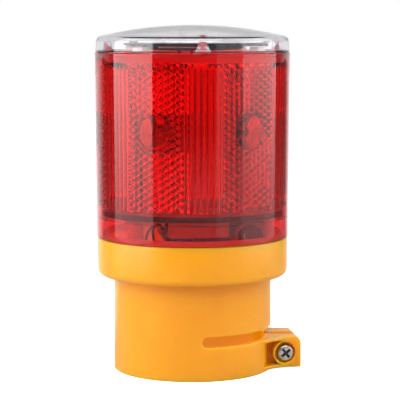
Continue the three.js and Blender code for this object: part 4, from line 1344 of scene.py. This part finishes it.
# ---------------------------------------------------------------- small screws and leads
LEAD_R = 0.65
LEADS = {
    "battery_lead_red": [
        (19.4, -28.7, 54), (16.5, -28.9, 53.5), (12.5, -27.5, 55), (9, -25, 58.5), (7.5, -23.5, 61.3),
    ],
    "battery_lead_black": [(19.4, 26.1, 54), (16.5, 25.7, 53.5), (11, 21, 54), (5, 14, 57.5), (3, 11, 61.3)],
    "switch_lead_1": [
        (-21.5, 1, 57.5), (-21.5, 1, 61), (-19.5, 0, 65.2), (-15.5, -1, 66.6), (-13.2, -2, 64.2),
    ],
    "switch_lead_2": [(-17.5, 5, 57.5), (-18, 5, 61), (-18, 4.2, 64.6), (-15.5, 3, 66.6), (-13.2, 2, 64.2)],
}
PANEL_ROUTE = (  # from the panel down through the light deck
    (3, 29.4, 149.4), (3, 29.2, 144), (2.4, 24, 134), (1.6, 10, 118),
    (1.4, 3, 100), (1.4, 0, 82), (1.4, -1, 73),
)
for paint, sign, bend_x, end_x in (("red", 1, 3, 4), ("black", -1, -1, 0)):
    upper = [(sign * px, py, pz) for px, py, pz in PANEL_ROUTE]
    LEADS[f"panel_lead_{paint}"] = [*upper, (bend_x, -5, 67), (end_x, -9, 64.2)]
for paint, foot_x in (("red", -8), ("black", -5)):
    LEADS[f"deck_lead_{paint}"] = [
        (foot_x, -9, 64.2), (foot_x, -8, 67.5), (foot_x - 1, -6.5, 70.5), (foot_x - 1, -6, 73.0),
    ]


def self_tapper(name, place, r, head_r, head, seat, tip):
    """A pan head screw that points down, with a cross recess and a coarse thread."""
    steel = looks["screw_steel"]
    rings = [circle(r * 0.25, tip, 16), *thread(r, 0.9, tip + 0.8, seat - 0.6, 16, 5),
             circle(r, seat - 0.3, 16), circle(r, seat + 0.3, 16)]
    shaft = outward(mesh_object("shaft", *loft(rings), steel, 30))
    dome = [(head_r * c, seat + 0.35 * head + 0.65 * head * s) for c, s in arc(0, 0, 1, 0, 84, 6)]
    top = turned(f"{name}_body", [(0, seat), (head_r - 0.1, seat), *dome, (0, seat + head)], steel, 32)
    reach, half = 0.55 * head_r, 0.13 * head_r
    for n in (0, 1):
        wing = block("wing", (-reach, -half, seat + 0.45 * head), (reach, half, seat + 9))
        combine(top, "DIFFERENCE", swung(wing, 20 + 90 * n))
    combine(top, "UNION", shaft)
    shade(top.data, 35)
    top.data.transform(shift(*place))
    finish_piece(top, name)


def smooth_path(points, steps=8):
    """Points of a centripetal Catmull-Rom curve through the given ones."""
    given = [Vector(p) for p in points]
    given = [2 * given[0] - given[1], *given, 2 * given[-1] - given[-2]]
    path = []
    for a, b, c, d in zip(given, given[1:], given[2:], given[3:]):
        t1 = (b - a).length ** 0.5
        t2 = t1 + (c - b).length ** 0.5
        t3 = t2 + (d - c).length ** 0.5
        for k in range(steps):
            t = t1 + (t2 - t1) * k / steps
            ab = a * (t1 - t) / t1 + b * t / t1
            bc = b * (t2 - t) / (t2 - t1) + c * (t - t1) / (t2 - t1)
            cd = c * (t3 - t) / (t3 - t2) + d * (t - t2) / (t3 - t2)
            abc = ab * (t2 - t) / t2 + bc * t / t2
            bcd = bc * (t3 - t) / (t3 - t1) + cd * (t - t1) / (t3 - t1)
            path.append(abc * (t2 - t) / (t2 - t1) + bcd * (t - t1) / (t2 - t1))
    return path + [given[-2]]


def lead(name):
    """An insulated wire with bare ends."""
    path = smooth_path(LEADS[name])
    slot = "lead_red" if name.endswith("red") else "lead_black"
    finish_piece(tube(f"{name}_cover", path[1:-1], LEAD_R, looks[slot]), name)
    ends = [tube("end", part, LEAD_R * 0.55, looks["copper_winding"], 8) for part in (path[:3], path[-3:])]
    finish_piece(join(f"{name}_core", ends), name)


# ---------------------------------------------------------------- the scene
make_camera()
light_the_studio()
looks = make_materials()

for part in (lens, cap, housing, clamp_screw, clamp_nut, solar_panel, panel_carrier):
    part()
for number in range(1, 5):
    panel_pad(number)
seal("rim_seal", "rim_rubber", [
    (42.35, 61.5), (43.05, 61.5), (43.1, 61.6), (43.05, 61.85), (42.35, 61.85), (42.3, 61.6),
])
seal("deck_seal", "seal_rubber", [
    (39.6, 72.6), (42.0, 72.6), (42.1, 72.75), (42.0, 73.15), (39.6, 73.15), (39.5, 73.0),
])
light_deck()
for number, place_angle in enumerate(STRIP_ANGLES, 1):
    led_strip(number, place_angle)
    led(number, place_angle)
for part in (control_board, control_module, capacitor, coil, battery, battery_holder):
    part()
contact("battery_contact_front", "contact_dull")
contact("battery_contact_rear", "contact_nickel")
for part in (battery_spring, switch_body, switch_button, switch_nut):
    part()
for number, pillar in enumerate(PILLARS, 1):
    self_tapper(f"deck_screw_{number}", pillar, 1.1, 2.8, 1.9, 75.3, 62.0)
for number, post in enumerate(POSTS, 1):
    self_tapper(f"board_screw_{number}", post, 0.75, 1.9, 1.3, 63.9, 57.5)
for lead_name in LEADS:
    lead(lead_name)
